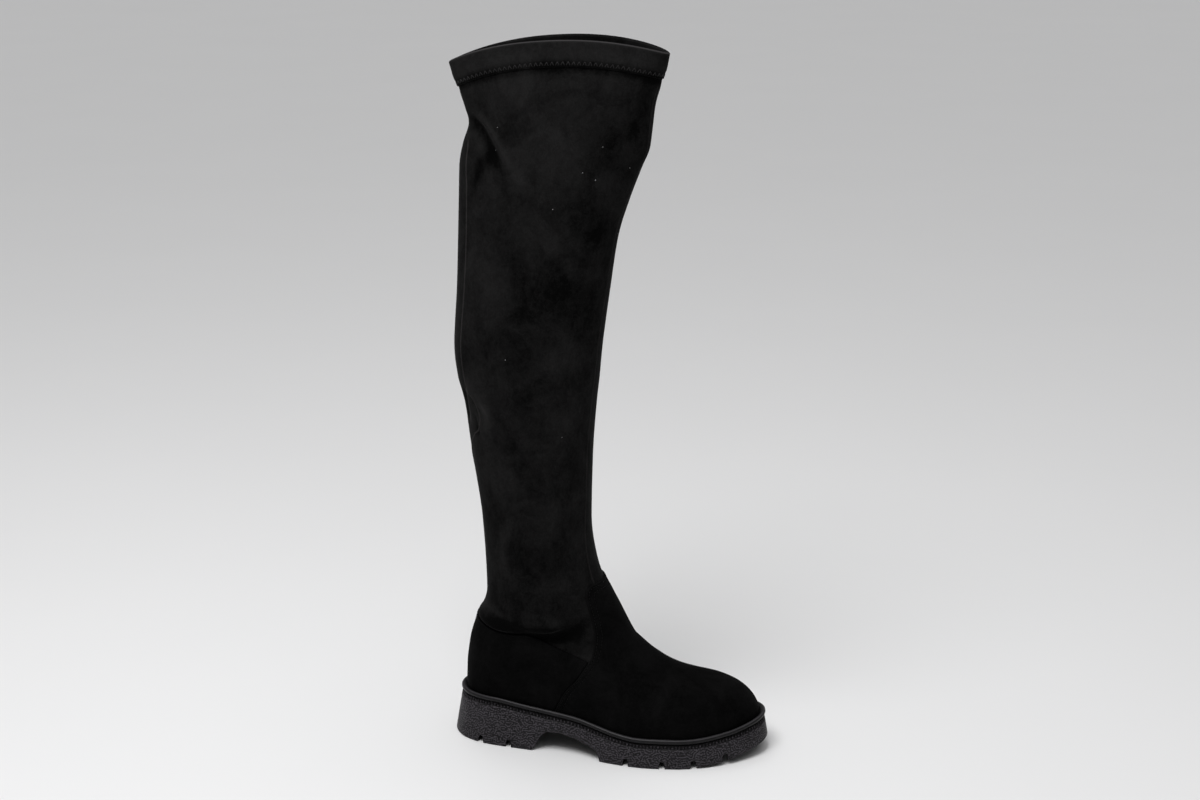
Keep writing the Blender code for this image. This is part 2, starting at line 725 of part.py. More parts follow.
def outsole_solid():
    """Levels of the sole from the tread up: bevel, flared side, ribbed band, groove and rim."""
    stations = sole_stations()
    turns = turn_of(stations)
    floor = tread_z(stations)
    under = underside_z(stations)
    top = seat_z(stations)
    band_foot = RIB_BAND + RIM_GROOVE
    levels = [
        (under, EDGE_BEVEL, None),
        (under + EDGE_BEVEL, 0.0, None),
        (top - band_foot, 0.0, -band_foot),
        (top - band_foot, RIB_STEP, 0.4 - band_foot),
        (top - RIM_GROOVE, RIB_STEP, -RIM_GROOVE),
        (top - RIM_GROOVE, RIB_STEP + RIM_GROOVE, 0.3 - RIM_GROOVE),
        (top, RIB_STEP + RIM_GROOVE, 0.0),
    ]
    rings = []
    for height, step, below_top in levels:
        ring = loop_from_sides(turns, SIDE_FLARE * (height - floor) + step)
        if below_top is None:
            z = np.concatenate([height, height[-2:0:-1]])
        else:
            z = seat_z(ring[:, 0]) + below_top
        rings.append(np.column_stack([ring, z]))
    return capped(rings)


def insole_solid():
    """Flat board on the sole, clear of the upper's inner face."""
    turns = np.linspace(0.0, math.pi, INSOLE_TURNS)
    share = station_of(turns) / SOLE_LENGTH
    inset = FEATHER_INSET_HEEL + (FEATHER_INSET_TOE - FEATHER_INSET_HEEL) * share + WALL + INSOLE_CLEAR
    ring = loop_from_sides(turns, inset)
    low = seat_z(ring[:, 0]) + SEAT_GAP
    return capped([np.column_stack([ring, low]), np.column_stack([ring, low + INSOLE_THICKNESS])])


Finish = namedtuple("Finish", "colour roughness")
STRETCH_SUEDE = Finish((0.020, 0.019, 0.019, 1.0), 0.92)
PANEL_SUEDE = Finish((0.012, 0.011, 0.012, 1.0), 0.90)
BEAD_RUBBER = Finish((0.055, 0.054, 0.055, 1.0), 0.45)
SOLE_RUBBER = Finish((0.035, 0.035, 0.036, 1.0), 0.60)
INSOLE_BOARD = Finish((0.030, 0.028, 0.027, 1.0), 0.85)


def make_material(name, finish):
    material = bpy.data.materials.new(name)
    material.use_nodes = True
    shader = material.node_tree.nodes["Principled BSDF"]
    shader.inputs["Base Color"].default_value = finish.colour
    shader.inputs["Roughness"].default_value = finish.roughness
    shader.inputs["Metallic"].default_value = 0.0
    return material


def make_object(name, solid, material, origin):
    points, faces = solid
    mesh = bpy.data.meshes.new(name)
    mesh.from_pydata(((points - origin) * METRE).tolist(), [], faces)
    work = bmesh.new()
    work.from_mesh(mesh)
    bmesh.ops.recalc_face_normals(work, faces=work.faces)
    work.to_mesh(mesh)
    work.free()
    mesh.shade_smooth()
    mesh.set_sharp_from_angle(angle=math.radians(40.0))
    mesh.materials.append(material)
    part = bpy.data.objects.new(name, mesh)
    bpy.context.scene.collection.objects.link(part)
    return part


def main():
    for old in list(bpy.data.objects):
        bpy.data.objects.remove(old, do_unlink=True)
    face = upper_face()
    solids = {
        "outsole": (outsole_solid(), SOLE_RUBBER),
        "welt": (welt_solid(face), BEAD_RUBBER),
        "insole": (insole_solid(), INSOLE_BOARD),
        "upper": (thicken(face, -WALL, 0.0), STRETCH_SUEDE),
        "vamp": (thicken(cut(face, in_vamp), GAP, GAP + PANEL), PANEL_SUEDE),
        "counter": (thicken(cut(face, in_counter), GAP, GAP + PANEL), PANEL_SUEDE),
        "collar_band": (band_solid(), STRETCH_SUEDE),
    }
    ground = solids["outsole"][0][0]
    low = ground.min(axis=0)
    high = ground.max(axis=0)
    origin = np.array([(low[0] + high[0]) / 2.0, (low[1] + high[1]) / 2.0, low[2]])
    for name, (solid, finish) in solids.items():
        make_object(name, solid, make_material(name + "_finish", finish), origin)


main()
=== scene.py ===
"""Looks of the stretch boot for the right foot: folds, overlays, seams, stitches and materials.

The shapes are worked out in millimetres in the frame of the last, as the solids are, where x
runs from the back of the heel to the tip of the toe, and go to the frame's metres at the end.
"""
import math
from collections import namedtuple

import bmesh
import bpy
import numpy as np
from mathutils.bvhtree import BVHTree
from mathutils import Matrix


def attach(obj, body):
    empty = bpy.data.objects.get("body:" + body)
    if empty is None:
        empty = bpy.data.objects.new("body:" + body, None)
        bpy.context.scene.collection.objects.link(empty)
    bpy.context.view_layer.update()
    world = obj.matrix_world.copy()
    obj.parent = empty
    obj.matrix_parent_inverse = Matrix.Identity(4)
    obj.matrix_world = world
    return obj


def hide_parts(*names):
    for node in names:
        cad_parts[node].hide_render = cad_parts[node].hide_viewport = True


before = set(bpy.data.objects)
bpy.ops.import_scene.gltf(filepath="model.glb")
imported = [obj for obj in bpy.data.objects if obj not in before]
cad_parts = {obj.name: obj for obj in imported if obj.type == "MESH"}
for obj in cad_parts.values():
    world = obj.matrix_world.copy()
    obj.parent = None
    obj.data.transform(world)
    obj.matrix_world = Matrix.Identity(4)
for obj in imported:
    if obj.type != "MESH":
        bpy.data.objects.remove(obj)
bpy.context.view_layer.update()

METRE = 0.001
TINY = 1e-12


def table(columns, *rows):
    """Rows of numbers under named columns."""
    kind = namedtuple("Row", columns)
    return [kind(*row) for row in rows]


# Driving sizes, in millimetres
SOLE_LENGTH = 280.0
BALL_WIDTH = 107.5
HEEL_HEIGHT = 39.5
BALL_HEIGHT = 21.5
TOE_SPRING = 11.4
TOE_SWING = 5.5
SWING_START = 0.5
WALL = 1.6
PANEL = 1.3
GAP = 0.35
SEAT_GAP = 0.3

# Mesh fineness
SIDE_STEPS = 64
COLUMN_CROWD = 0.06
SHAFT_ROW = 3.8
FOOT_ROW = 3.4
FINE = 320
SOLE_TURNS = 181
FEATHER_STEPS = 241
INSOLE_TURNS = 121
STATION_CLEAR = 0.25
TURN_STEP = 1e-3
SKIN_STEP = 0.02
SPLIT_CLEAR = 0.02

# Ground outline of the sole: shares of the length and of the ball width from the axis
OUTLINE = table(
    "along outer inner",
    (0.000, 0.000, 0.000), (0.018, 0.162, 0.162), (0.054, 0.264, 0.267), (0.129, 0.344, 0.335),
    (0.268, 0.387, 0.321), (0.393, 0.415, 0.307), (0.536, 0.496, 0.381), (0.643, 0.531, 0.456),
    (0.732, 0.518, 0.484), (0.821, 0.464, 0.460), (0.893, 0.373, 0.387), (0.946, 0.265, 0.284),
    (0.982, 0.156, 0.172), (1.000, 0.000, 0.000),
)

# Top of the sole: share of the length, and share of the way up from ball to heel height
SEAT_LINE = table(
    "along lift",
    (0.00, 1.00), (0.15, 0.98), (0.25, 0.81), (0.35, 0.64), (0.43, 0.49), (0.50, 0.28), (0.56, 0.09),
    (0.62, 0.00), (0.76, 0.00), (0.89, 0.21), (1.00, 0.60),
)

# Underside between heel and forefoot tread: breast of the heel, arch, step to the tread
SHANK = table(
    "x height",
    (77.5, 0), (81, 5), (85, 12.5), (90.5, 18), (103, 18), (116, 15.5), (128, 12),
    (137, 8.5), (139.5, 4), (140.5, 0),
)
GROOVES = (30.0, 56.5, 164.0, 196.0, 223.0, 249.0)
GROOVE_HALF_WIDTH = 2.6
GROOVE_DEPTH = 6.0
GROOVE_POWER = 4
GROOVE_SHARES = (-1.0, -0.96, -0.85, -0.65, -0.35, 0.0, 0.35, 0.65, 0.85, 0.96, 1.0)
SPRING_START = 205.0
SIDE_FLARE = 0.17
EDGE_BEVEL = 1.5
BEVEL_STEPS = 4
WALL_LEVELS = 5
BAND_LIP = 0.5
LIP_STEP = 0.35
LIP_SLOPE = 0.4
LIP_TONE = 0.5
RIM_SLOPE = 0.3
RIB_BAND = 3.4
RIB_STEP = 1.4
RIM_GROOVE = 1.1
WELT_HEIGHT = 3.8
WELT_WIDTH = 4.4
WELT_CLEAR = 0.7
INSOLE_THICKNESS = 3.0
INSOLE_CLEAR = 1.8
INSOLE_EDGE = 0.7
INSOLE_ROUND = 0.3

# The upper stands this far inside the ground outline at heel and toe
FEATHER_INSET_HEEL = 12.3
FEATHER_INSET_TOE = 9.2

# Closed sections down the shaft and round the back of the heel. Each lies in the plane
# from its back point to its front point; rise lifts its sides, roll is how far the slouch
# over the counter hangs out beside the ankle, and blunt squares the back.
SHAFT = table(
    "back_x back_z front_x front_z half_width rise roll blunt",
    (7, 593, 186.5, 603.5, 23.5, 15.5, 0, 2.2), (13, 573.5, 182.5, 584, 27.5, 15.5, 0, 2.2),
    (18.8, 556, 176.5, 562, 30, 12, 0, 2.2), (21.5, 544, 174.5, 545, 31.4, 8, 0, 2.2),
    (16.5, 528, 172.3, 528, 32.6, 5, 0, 2.2), (13, 510, 165.5, 511, 33.4, 2.5, 0, 2.2),
    (12, 483, 155, 483, 34.6, 0, 0, 2.2), (11, 455, 146.5, 455, 36, 0, 0, 2.2),
    (9.2, 410, 139.5, 410, 38.3, 0, 0, 2.2), (5.8, 357, 132.5, 357, 40, 0, 0, 2.2),
    (8, 332, 130.2, 332, 39.8, 0, 0, 2.2), (13.5, 310, 127.8, 310, 39.3, 0, 0, 2.2),
    (20, 262, 124.3, 262, 38.2, 0, 0, 2.2), (28, 204, 123, 206, 36.8, 0, 0, 2.2),
    (30.5, 160, 128, 168, 36.5, -1, 0.6, 2.2), (31, 138, 134.5, 148.5, 36.8, -4, 2, 2.2),
    (28.5, 125.5, 139.1, 140, 37, -8, 4.6, 2.3), (25.2, 119.2, 142, 134.6, 36.8, -11.5, 6.2, 2.4),
    (23, 115.6, 144.3, 130.4, 36.6, -13, 5.2, 2.4), (23.1, 113.2, 146.8, 125.8, 36.4, -12.5, 1, 2.4),
    (21.3, 105.5, 149.8, 120.3, 36, -9, 0, 2.5), (17.2, 92, 153, 114.4, 35.6, -4, 0, 2.6),
    (13.6, 70, 156.4, 108, 35.2, 0, 0, 2.6), (12.4, 52, 159.4, 102.4, 35, 0, 0, 2.6),
    (12.3, 39.8, 162.2, 98.1, 35, 0, 0, 2.6),
)
ROLL_END = 0.55
ROLL_FADE = 0.28
ROLL_TUCK = 19
COUNTER_ROW = 19.0
VAMP_ROW = 12.0
SHAFT_SHARE = 0.5
SHAFT_ROUND = 2.15

# Open sections along the feather edge to the toe. Each starts on the edge of the sole at
# base_x and ends at its crown. From the height share upwards it closes over the foot, and
# its crown lies ridge towards the inner side.
FOOT = table(
    "base_x crown_x crown_z share round ridge",
    (13.9, 163, 97.3, 0.60, 2.1, 0.2), (18.7, 164, 96.2, 0.59, 2.1, 0.4),
    (26, 165.3, 94.8, 0.58, 2.1, 0.6), (35, 166.9, 93.2, 0.56, 2.1, 0.8),
    (58, 170.7, 89.4, 0.50, 2.1, 1.2), (92, 176.2, 84.2, 0.41, 2.1, 1.6),
    (122, 182.5, 79.1, 0.34, 2.1, 2.1), (148, 190, 73.9, 0.27, 2.1, 2.6),
    (173, 200, 69, 0.22, 2.1, 3), (198, 213, 64.7, 0.20, 2.2, 3),
    (222, 232, 61.2, 0.20, 2.3, 2.5), (242, 247.8, 57, 0.20, 2.3, 1.5),
    (255, 258.3, 51.8, 0.20, 2.3, 0.8), (263.5, 264.9, 46, 0.20, 2.2, 0.3),
    (268.4, 268.8, 40.2, 0.20, 2.1, 0), (270.2, 270.3, 35.6, 0.20, 2, 0),
    (270.8, 270.8, 31.7, 0.20, 2, 0),
)

# How much wider than its lower edge the upper is above the sole, as a share of that width
SWELL = table(
    "x outer inner",
    (12, 0.34, 0.46), (35, 0.33, 0.46), (58, 0.25, 0.44), (92, 0.13, 0.36), (122, 0.06, 0.25),
    (148, 0.02, 0.14), (173, 0.01, 0.07), (205, 0.01, 0.03), (271, 0.02, 0.02),
)
SWELL_HEIGHT = 34.0

# Pattern lines of the overlays, as the boot is seen from its side
VAMP_EDGE = table(
    "height x",
    (30, 95), (54, 106), (69, 118), (80, 125), (91, 131), (104, 132),
    (121, 129), (142, 123.5), (160, 122),
)
VAMP_TAB_TOP = 151.0
TAB_CORNER = 7.0
COUNTER_TOP = table(
    "x height",
    (10, 118), (38, 118), (53, 115), (68, 109), (86, 102.5), (104, 95.3), (132, 83.5),
)
SEAM_GAP = 0.5
ROW_REACH = 10.0

# How far an overlay rises above the upper at a distance from its cut edge, and its tone: painted shade
# along the counter's edge and a painted highlight along the vamp's. The stitches of the vamp lie in two
# grooves, with painted shade in them.
ROLL_COLUMNS = "inset share tone"
COUNTER_ROLL = table(ROLL_COLUMNS, (0.0, 0.30, -0.3), (0.5, 0.78, -0.2), (1.3, 1.0, 0.0))
VAMP_STITCHES = (2.3, 6.0)
STITCH_GROOVE = 0.7
STITCH_SINK = 0.70
STITCH_SHADE = -0.7
VAMP_ROLL = table(
    ROLL_COLUMNS, (0.0, 0.30, 0.5), (0.5, 0.78, 0.3), (1.3, 1.0, 0.0),
    *((inset + way * STITCH_GROOVE, 1.0 if way else STITCH_SINK, 0.0 if way else STITCH_SHADE)
      for inset in VAMP_STITCHES for way in (-1, 0, 1)))

# Folds of the stretch fabric: a soft trough, with a depth below zero, or a soft ridge along a line
# of x and height as the boot is seen from its side, with its tone: painted highlight on the ridges
# and painted shade in the troughs. Side -1 is the outer side of the boot.
FOLDS = table(
    "side path width depth tone",
    # Tuck under the collar at the outer back: its edge, the hollow under it and what runs on from it
    (-1, ((22, 560), (34, 553), (44, 545), (50, 536), (56, 526), (64, 512), (72, 498)), 3.2, 1.8, 0.6),
    (-1, ((16, 556), (28, 549), (37, 542), (43, 533), (48, 524), (55, 511), (61, 498)), 4.8, -3.4, -0.6),
    (-1, ((53, 508), (58, 496), (64, 482)), 5, -1.4, -0.4),
    (-1, ((66, 512), (74, 500), (84, 488), (96, 476)), 7, 1.7, 0.2),
    (-1, ((20, 540), (30, 535), (38, 526), (43, 515)), 5.5, 1.8, 0.3),
    (-1, ((52, 533), (45, 521), (38, 509), (30, 497), (25, 489)), 4.6, -1.9, -0.5),
    # Creases at the back of the calf
    (-1, ((18, 326), (19, 308), (21, 288)), 2.4, -1.9, -0.7),
    (-1, ((23, 330), (24, 313), (27, 297), (29, 284)), 2.4, 1.1, 0.6),
    (-1, ((27, 304), (30, 292), (33, 280)), 2.6, -1.5, -0.6),
    (-1, ((20, 342), (28, 322), (36, 311), (42, 303), (43, 294), (39, 281)), 3.2, 1.7, 0.6),
    # Front edge of the knee, where the shaft bends in
    (-1, ((176, 548), (163, 545), (150, 534), (140, 519)), 7, -1.6, -0.3),
    (-1, ((172, 524), (160, 519), (149, 506), (141, 490)), 7, 1.2, 0.1),
    (-1, ((154, 478), (142, 470), (133, 456), (128, 440)), 6, -1.3, -0.3),
    # The slouch over the counter hangs on to the front, over a deep hollow
    (-1, ((70, 121), (92, 119), (108, 121), (120, 126)), 6, 1.6, 0),
    (-1, ((28, 124), (44, 118), (60, 112), (80, 107), (98, 106), (112, 109), (122, 115), (132, 124)),
     6.2, -3.4, -1.6),
    # Painted shade under the lip of the slouch, and a painted highlight on its crest at the back
    (-1, ((16, 117), (28, 114), (39, 112), (49, 110), (58, 108), (68, 108), (77, 110), (90, 112), (103, 115),
          (112, 118)), 3.8, 0, -1.4),
    (-1, ((20, 130), (32, 126), (44, 123), (56, 120), (66, 118)), 4, 0, 0.6),
    # The inner side creases less
    (1, ((54, 122), (76, 115), (98, 114), (118, 121)), 5.5, -1.8, -0.5),
    (1, ((22, 330), (27, 312), (34, 296), (40, 284)), 3.2, -1.6, -0.4),
    (1, ((29, 332), (35, 314), (42, 299)), 4, 1.2, 0.2),
    (1, ((160, 520), (144, 504), (134, 484), (128, 462)), 7, -1.3, -0.2),
)
FOLD_FADE = 0.3
SIDE_FADE = 8.0
FOLD_NEAR = 2.2

# The mesh is cut finer near the folds, once for those up to each of these widths
FOLD_CUTS = (8.0, 3.5)

# The fabric dips just below the hem of the collar, at the section that the hem ends on
HEM_ROW = 1.0
HEM_ROW_LENGTH = 19.0
HEM_DIP = 0.5
HEM_DIP_REACH = 3.0
HEM_SHADE = -0.8

# Brushed nap on the outer side: soft patches by x and height, lighter above zero, darker below. The
# patches at x 163, height 553 and at x 133, height 460 are painted shade at the bend and a crease at the
# front of the knee
NAP = table(
    "x height along up tone",
    (80, 577, 75, 20, 0.30), (105, 520, 18, 42, 0.32), (163, 553, 18, 19, -0.30), (133, 460, 13, 19, -0.20),
    (100, 403, 30, 38, -0.38), (40, 420, 15, 50, 0.35), (72, 505, 8, 14, 0.30), (106, 353, 17, 8, 0.30),
    (76, 315, 17, 17, -0.20), (104, 300, 13, 17, 0.30), (110, 254, 14, 18, -0.25), (54, 254, 11, 11, 0.35),
    (88, 166, 24, 20, -0.20), (48, 170, 9, 32, 0.10), (37, 302, 9, 22, 0.70), (114, 96, 16, 10, -0.25),
    (80, 140, 60, 22, -0.25),
)

# Collar band: how high its outer side stands at a distance above its lower edge, and its tone, with painted
# shade low down where the zigzag stitches sit
BAND = 1.2
HEM_RISE = table(
    "above share tone",
    (0, 0.05, -0.8), (0.5, 0.24, -0.8), (1.2, 0.34, -0.6), (2.6, 0.32, -0.4), (4.2, 0.40, -0.3),
    (5.4, 0.68, 0.1), (7.5, 0.96, 0.40), (11, 1.06, 0.40), (16, 1, 0.25), (22, 1, 0.35),
)
HEM_STEPS = 26
HEM_CROWD = 1.5
HEM_SKIP = 4
FOLD_STEPS = 9
# Tones of the rings of the fold over the rim: a painted highlight along its crest
CREST_HIGHLIGHT_TONES = (0.7, 1.7, 2.0, 1.5, 0.5)

# Stitches: their thread comes up out of the fabric and goes down again
Stitch = namedtuple("Stitch", "pitch length radius arch")
TOP_STITCH = Stitch(2.9, 2.3, 0.24, 0.30)
STITCH_SHARES = np.array([0.0, 0.1, 0.3, 0.5, 0.7, 0.9, 1.0])
STITCH_RADII = np.array([0.45, 0.85, 1.0, 1.0, 1.0, 0.85, 0.45])
STITCH_BLUNT = 0.6
STITCH_SUNK = 0.5
ZIGZAG = Stitch(2.15, 0.0, 0.38, 0.40)
ZIGZAG_HEIGHTS = (0.3, 4.8)

# Section of the welt's bead in shares of its width and height, where a highlight is painted on its
# edge and how far that reaches
BEAD = ((0.00, 0.00), (0.88, 0.00), (1.00, 0.30), (0.97, 0.68), (0.74, 0.95), (0.40, 1.00), (0.00, 0.80))
BEAD_CUTS = 2
CORNER_CUT = 0.25
BEAD_HIGHLIGHT_EDGE = (0.72, 0.94)
BEAD_HIGHLIGHT_REACH = 0.19

# Moulded ribs like stitches in the band under the welt: section as height share and bulge
RIB_SECTION = table("up bulge", (0.10, 0.0), (0.18, 0.8), (0.5, 1.0), (0.82, 0.8), (0.90, 0.0))
RIB_PITCH = 3.1
RIB_SAMPLES = 14
RIB_ROOT = 0.2
RIB_TURNS = 721
RIB_MEAN = 0.35
RIB_SWING = 1.8

# Seams of the shaft as height and distance to the inner side, seen from behind and from in front
BACK_SEAM = table(
    "height y",
    (122, 0), (180, 0), (230, -4), (262, -11), (284, -25), (300, -31),
    (312, -30), (328, -26), (347, -25), (364, -24.5), (399, -24), (441, -23),
    (483, -20.5), (524, -17), (534, -16),
)
FRONT_SEAM = table(
    "height y",
    (149, -16), (173, -15), (190, -14), (226, -12), (266, -12), (330, -11),
    (420, -9), (500, -7), (583, -6),
)
SEAM_STEP = 3.0
SEAM_HALF = 0.8
SEAM_TIP = 0.3
SEAM_FLAT = 0.4
SEAM_SIDES = 8
RAY_START = 400.0

# Bits of lint on the outer side, as x and height
LINT = ((50, 526), (139, 532), (123, 511), (133, 505), (99, 481), (59, 354), (105, 287), (52, 545),
        (159, 514))
LINT_LENGTH = 0.9
LINT_RADIUS = 0.16
LINT_TAPER = np.array([0.4, 0.9, 1.0, 1.0, 0.9, 0.4])
LINT_BEND = 0.2
LINT_SHORT = 0.6
LINT_WAVE = 5.0
LINT_LIFT = 0.8
GOLDEN_TURN = 2.39996


def column(rows, name):
    return [getattr(row, name) for row in rows]


def smooth(knots, values, where):
    """Monotone cubic through the rows of a table: it never overshoots between two rows."""
    knots, values, where = (np.asarray(items, float) for items in (knots, values, where))
    step = np.diff(knots)
    slope = np.diff(values) / step
    both = slope[:-1] * slope[1:]
    total = slope[:-1] + slope[1:]
    middle = np.where(both > 0.0, 2.0 * both / np.where(both > 0.0, total, 1.0), 0.0)
    tangent = np.concatenate([slope[:1], middle, slope[-1:]])
    cell = np.clip(np.searchsorted(knots, where, side="right") - 1, 0, len(knots) - 2)
    u = (where - knots[cell]) / step[cell]
    start = values[cell] * (1 + 2 * u) * (1 - u) ** 2 + tangent[cell] * step[cell] * u * (1 - u) ** 2
    end = values[cell + 1] * u * u * (3 - 2 * u) + tangent[cell + 1] * step[cell] * u * u * (u - 1)
    return start + end


def held(rows, over, name, where):
    """One column of a table as a smooth curve over another, held beyond its ends."""
    knots = column(rows, over)
    return smooth(knots, column(rows, name), np.clip(where, knots[0], knots[-1]))


def linear(rows, over, name, where):
    """One column of a table over another along straight lines, held beyond its ends."""
    return np.interp(where, column(rows, over), column(rows, name))


def side_name(side):
    return "inner" if side > 0 else "outer"


def ease(share):
    """Smooth step from nothing to one."""
    share = np.clip(share, 0.0, 1.0)
    return share * share * (3.0 - 2.0 * share)


def unit(vectors):
    return vectors / np.maximum(np.linalg.norm(vectors, axis=-1, keepdims=True), TINY)


def reach_along(points):
    """Distance of each point of a line from its start."""
    return np.concatenate([[0.0], np.cumsum(np.linalg.norm(np.diff(points, axis=0), axis=1))])


def looked_up(wanted, reach, rows):
    """What the rows say at distances along their line."""
    return np.stack([np.interp(wanted, reach, values) for values in rows.T], axis=-1)


def turn_of(x):
    """Angle of a station: equal steps of it crowd the stations at the round ends."""
    return np.arccos(np.clip(1.0 - 2.0 * np.asarray(x, float) / SOLE_LENGTH, -1.0, 1.0))


def station_of(turn):
    return SOLE_LENGTH * (1.0 - np.cos(turn)) / 2.0


def axis_y(x):
    """The middle line of the sole swings to the inner side towards the toe."""
    return TOE_SWING * ease((np.asarray(x, float) / SOLE_LENGTH - SWING_START) / (1.0 - SWING_START))


def outline_side(turns, side, inset):
    """Points of the outline along one side, moved in by inset along its own normal."""
    knots = turn_of(np.array(column(OUTLINE, "along")) * SOLE_LENGTH)
    widths = column(OUTLINE, side_name(side))

    def at(turn):
        x = station_of(turn)
        return np.stack([x, axis_y(x) + side * BALL_WIDTH * smooth(knots, widths, turn_of(x))], axis=-1)

    tangent = at(np.clip(turns + TURN_STEP, 0.0, math.pi)) - at(np.clip(turns - TURN_STEP, 0.0, math.pi))
    tangent[0] = (0.0, side)
    tangent[-1] = (0.0, -side)
    tangent = unit(tangent)
    outward = side * np.stack([-tangent[:, 1], tangent[:, 0]], axis=-1)
    return at(turns) - outward * np.reshape(inset, (-1, 1))


def both_ways(outer, inner):
    """What lies along the outer side to the toe, and then back along the inner side."""
    return np.concatenate([outer, inner[-2:0:-1]])


def loop_from_sides(turns, inset):
    """Closed line round the sole: along the outer side to the toe and back along the inner side."""
    return both_ways(outline_side(turns, -1, inset), outline_side(turns, 1, inset))


def seat_z(x):
    """Height of the top of the sole."""
    share = np.asarray(x, float) / SOLE_LENGTH
    return BALL_HEIGHT + (HEEL_HEIGHT - BALL_HEIGHT) * held(SEAT_LINE, "along", "lift", share)


def on_seat(ring, height):
    """A line in plan, at a height over the top of the sole."""
    return np.column_stack([ring, seat_z(ring[:, 0]) + height])


def feather_inset(x):
    """How far inside the ground outline the upper stands at a station."""
    return FEATHER_INSET_HEEL + (FEATHER_INSET_TOE - FEATHER_INSET_HEEL) * x / SOLE_LENGTH


SOLE_EDGE = loop_from_sides(np.linspace(0.0, math.pi, SOLE_TURNS), 0.0)
ORIGIN = np.array([SOLE_LENGTH / 2.0, (SOLE_EDGE[:, 1].min() + SOLE_EDGE[:, 1].max()) / 2.0, 0.0])
FEATHER_TURNS = np.linspace(0.0, math.pi, FEATHER_STEPS)
FEATHER = {side: outline_side(FEATHER_TURNS, side, feather_inset(station_of(FEATHER_TURNS)))
           for side in (-1, 1)}


def feather_half(x, side):
    """Half width of the upper's lower edge, from the axis of the sole."""
    edge = FEATHER[side]
    return np.maximum(side * (np.interp(x, edge[:, 0], edge[:, 1]) - axis_y(x)), 0.0)


Section = namedtuple("Section", "back_x back_z crown_x crown_z half_width rise roll blunt reach round ridge")


def foot_section(row):
    """An open section; reach is how far from its crown it starts to close over the foot."""
    base_z = float(seat_z(row.base_x)) + SEAT_GAP
    reach = (1.0 - row.share) * math.hypot(row.crown_x - row.base_x, row.crown_z - base_z)
    return Section(row.base_x, base_z, row.crown_x, row.crown_z, *SHAFT[-1][4:], reach, row.round, row.ridge)


# What a closed section needs of the foot is that of the first open section
OPEN = [foot_section(row) for row in FOOT]
SECTIONS = [Section(*row, OPEN[0].reach, OPEN[0].round, 0.0) for row in SHAFT] + OPEN
HEEL_ROW = len(SHAFT) - 1
TOE_ROW = len(SECTIONS) - 1
COLUMNS = 2 * SIDE_STEPS + 1
HEEL_BACK = SECTIONS[ROLL_TUCK:HEEL_ROW + 1][::-1]


def heel_shift(z):
    """How far the back of the heel lies in front of its lowest point."""
    return linear(HEEL_BACK, "back_z", "back_x", z) - HEEL_BACK[0].back_x


def swell_at(x, z, side):
    """Factor by which the upper is wider at a height than along its lower edge."""
    share = held(SWELL, "x", side_name(side), x)
    return 1.0 + share * (1.0 - np.exp(-np.maximum(z - seat_z(x), 0.0) / SWELL_HEIGHT))


def closing(share, start, power):
    """Superellipse quarter: one up to start, then down to nothing at the end."""
    reach = np.clip((share - start) / (1.0 - start), 0.0, 1.0)
    return (1.0 - reach ** power) ** (1.0 / power)


def half_section(t, side):
    """Fine points of one half of a section, from its base or back to its crown."""
    rows = np.arange(len(SECTIONS))
    section = Section(*(float(smooth(rows, column(SECTIONS, name), t)) for name in Section._fields))
    if t > HEEL_ROW:
        section = section._replace(back_z=float(seat_z(section.back_x)) + SEAT_GAP)
    along = section.crown_x - section.back_x
    up = section.crown_z - section.back_z
    depth = math.hypot(along, up) + TINY
    share = (1.0 - np.cos(math.pi * np.linspace(0.0, 1.0, FINE))) / 2.0
    x = section.back_x + share * along
    z = section.back_z + share * up
    back = closing(1.0 - share, 1.0 - SHAFT_SHARE, section.blunt)
    fade = 1.0 - ease((share - ROLL_END) / ROLL_FADE)
    wide = section.half_width + section.roll * fade
    shaft = wide * back * closing(share, SHAFT_SHARE, SHAFT_ROUND)
    foot = feather_half(x - heel_shift(z), side) * swell_at(x, z, side)
    foot = foot * closing(share, max(1.0 - section.reach / depth, 0.0), section.round)
    blend = ease((t - ROLL_TUCK) / (HEEL_ROW - ROLL_TUCK))
    y = shaft + (foot - shaft) * blend
    lift = section.rise * (y / wide) ** 2 / depth
    if section.rise < 0.0:
        lift = lift * fade
    middle = blend * axis_y(x) + section.ridge * share ** 2
    return np.stack([x - lift * up, middle + side * y, z + lift * along], axis=-1)


def even(points, shares):
    """Points of a fine line at shares of its length, with its direction there."""
    reach = reach_along(points)
    wanted = shares * reach[-1]
    cell = np.clip(np.searchsorted(reach, wanted), 1, len(reach) - 1) - 1
    return looked_up(wanted, reach, points), unit(np.diff(points, axis=0)[cell])


def section_line(t):
    """One section of the upper: outer base or back, over the crown, to the inner side."""
    even_shares = np.linspace(0.0, 1.0, SIDE_STEPS + 1)
    shares = even_shares - COLUMN_CROWD * np.sin(2.0 * math.pi * even_shares)
    outer, outer_way = even(half_section(t, -1), shares)
    inner, inner_way = even(half_section(t, 1), shares)
    points = np.concatenate([outer, inner[-2::-1]])
    ways = np.concatenate([outer_way, -inner_way[-2::-1]])
    ways[SIDE_STEPS] = (0.0, 1.0, 0.0)
    if t <= HEEL_ROW:
        ways[[0, -1]] = (0.0, -1.0, 0.0)
    return points, ways


def skin(t):
    """Points of one section of the upper's outer face, with the normals there."""
    inside = min(t, TOE_ROW - 4.0 * SKIN_STEP)
    before = section_line(max(inside - SKIN_STEP, 0.0))[0]
    after = section_line(min(inside + SKIN_STEP, TOE_ROW))[0]
    normals = np.cross(after - before, section_line(inside)[1])
    if t >= TOE_ROW:
        normals[:] = (1.0, 0.0, 0.0)
    return section_line(t)[0], unit(normals)


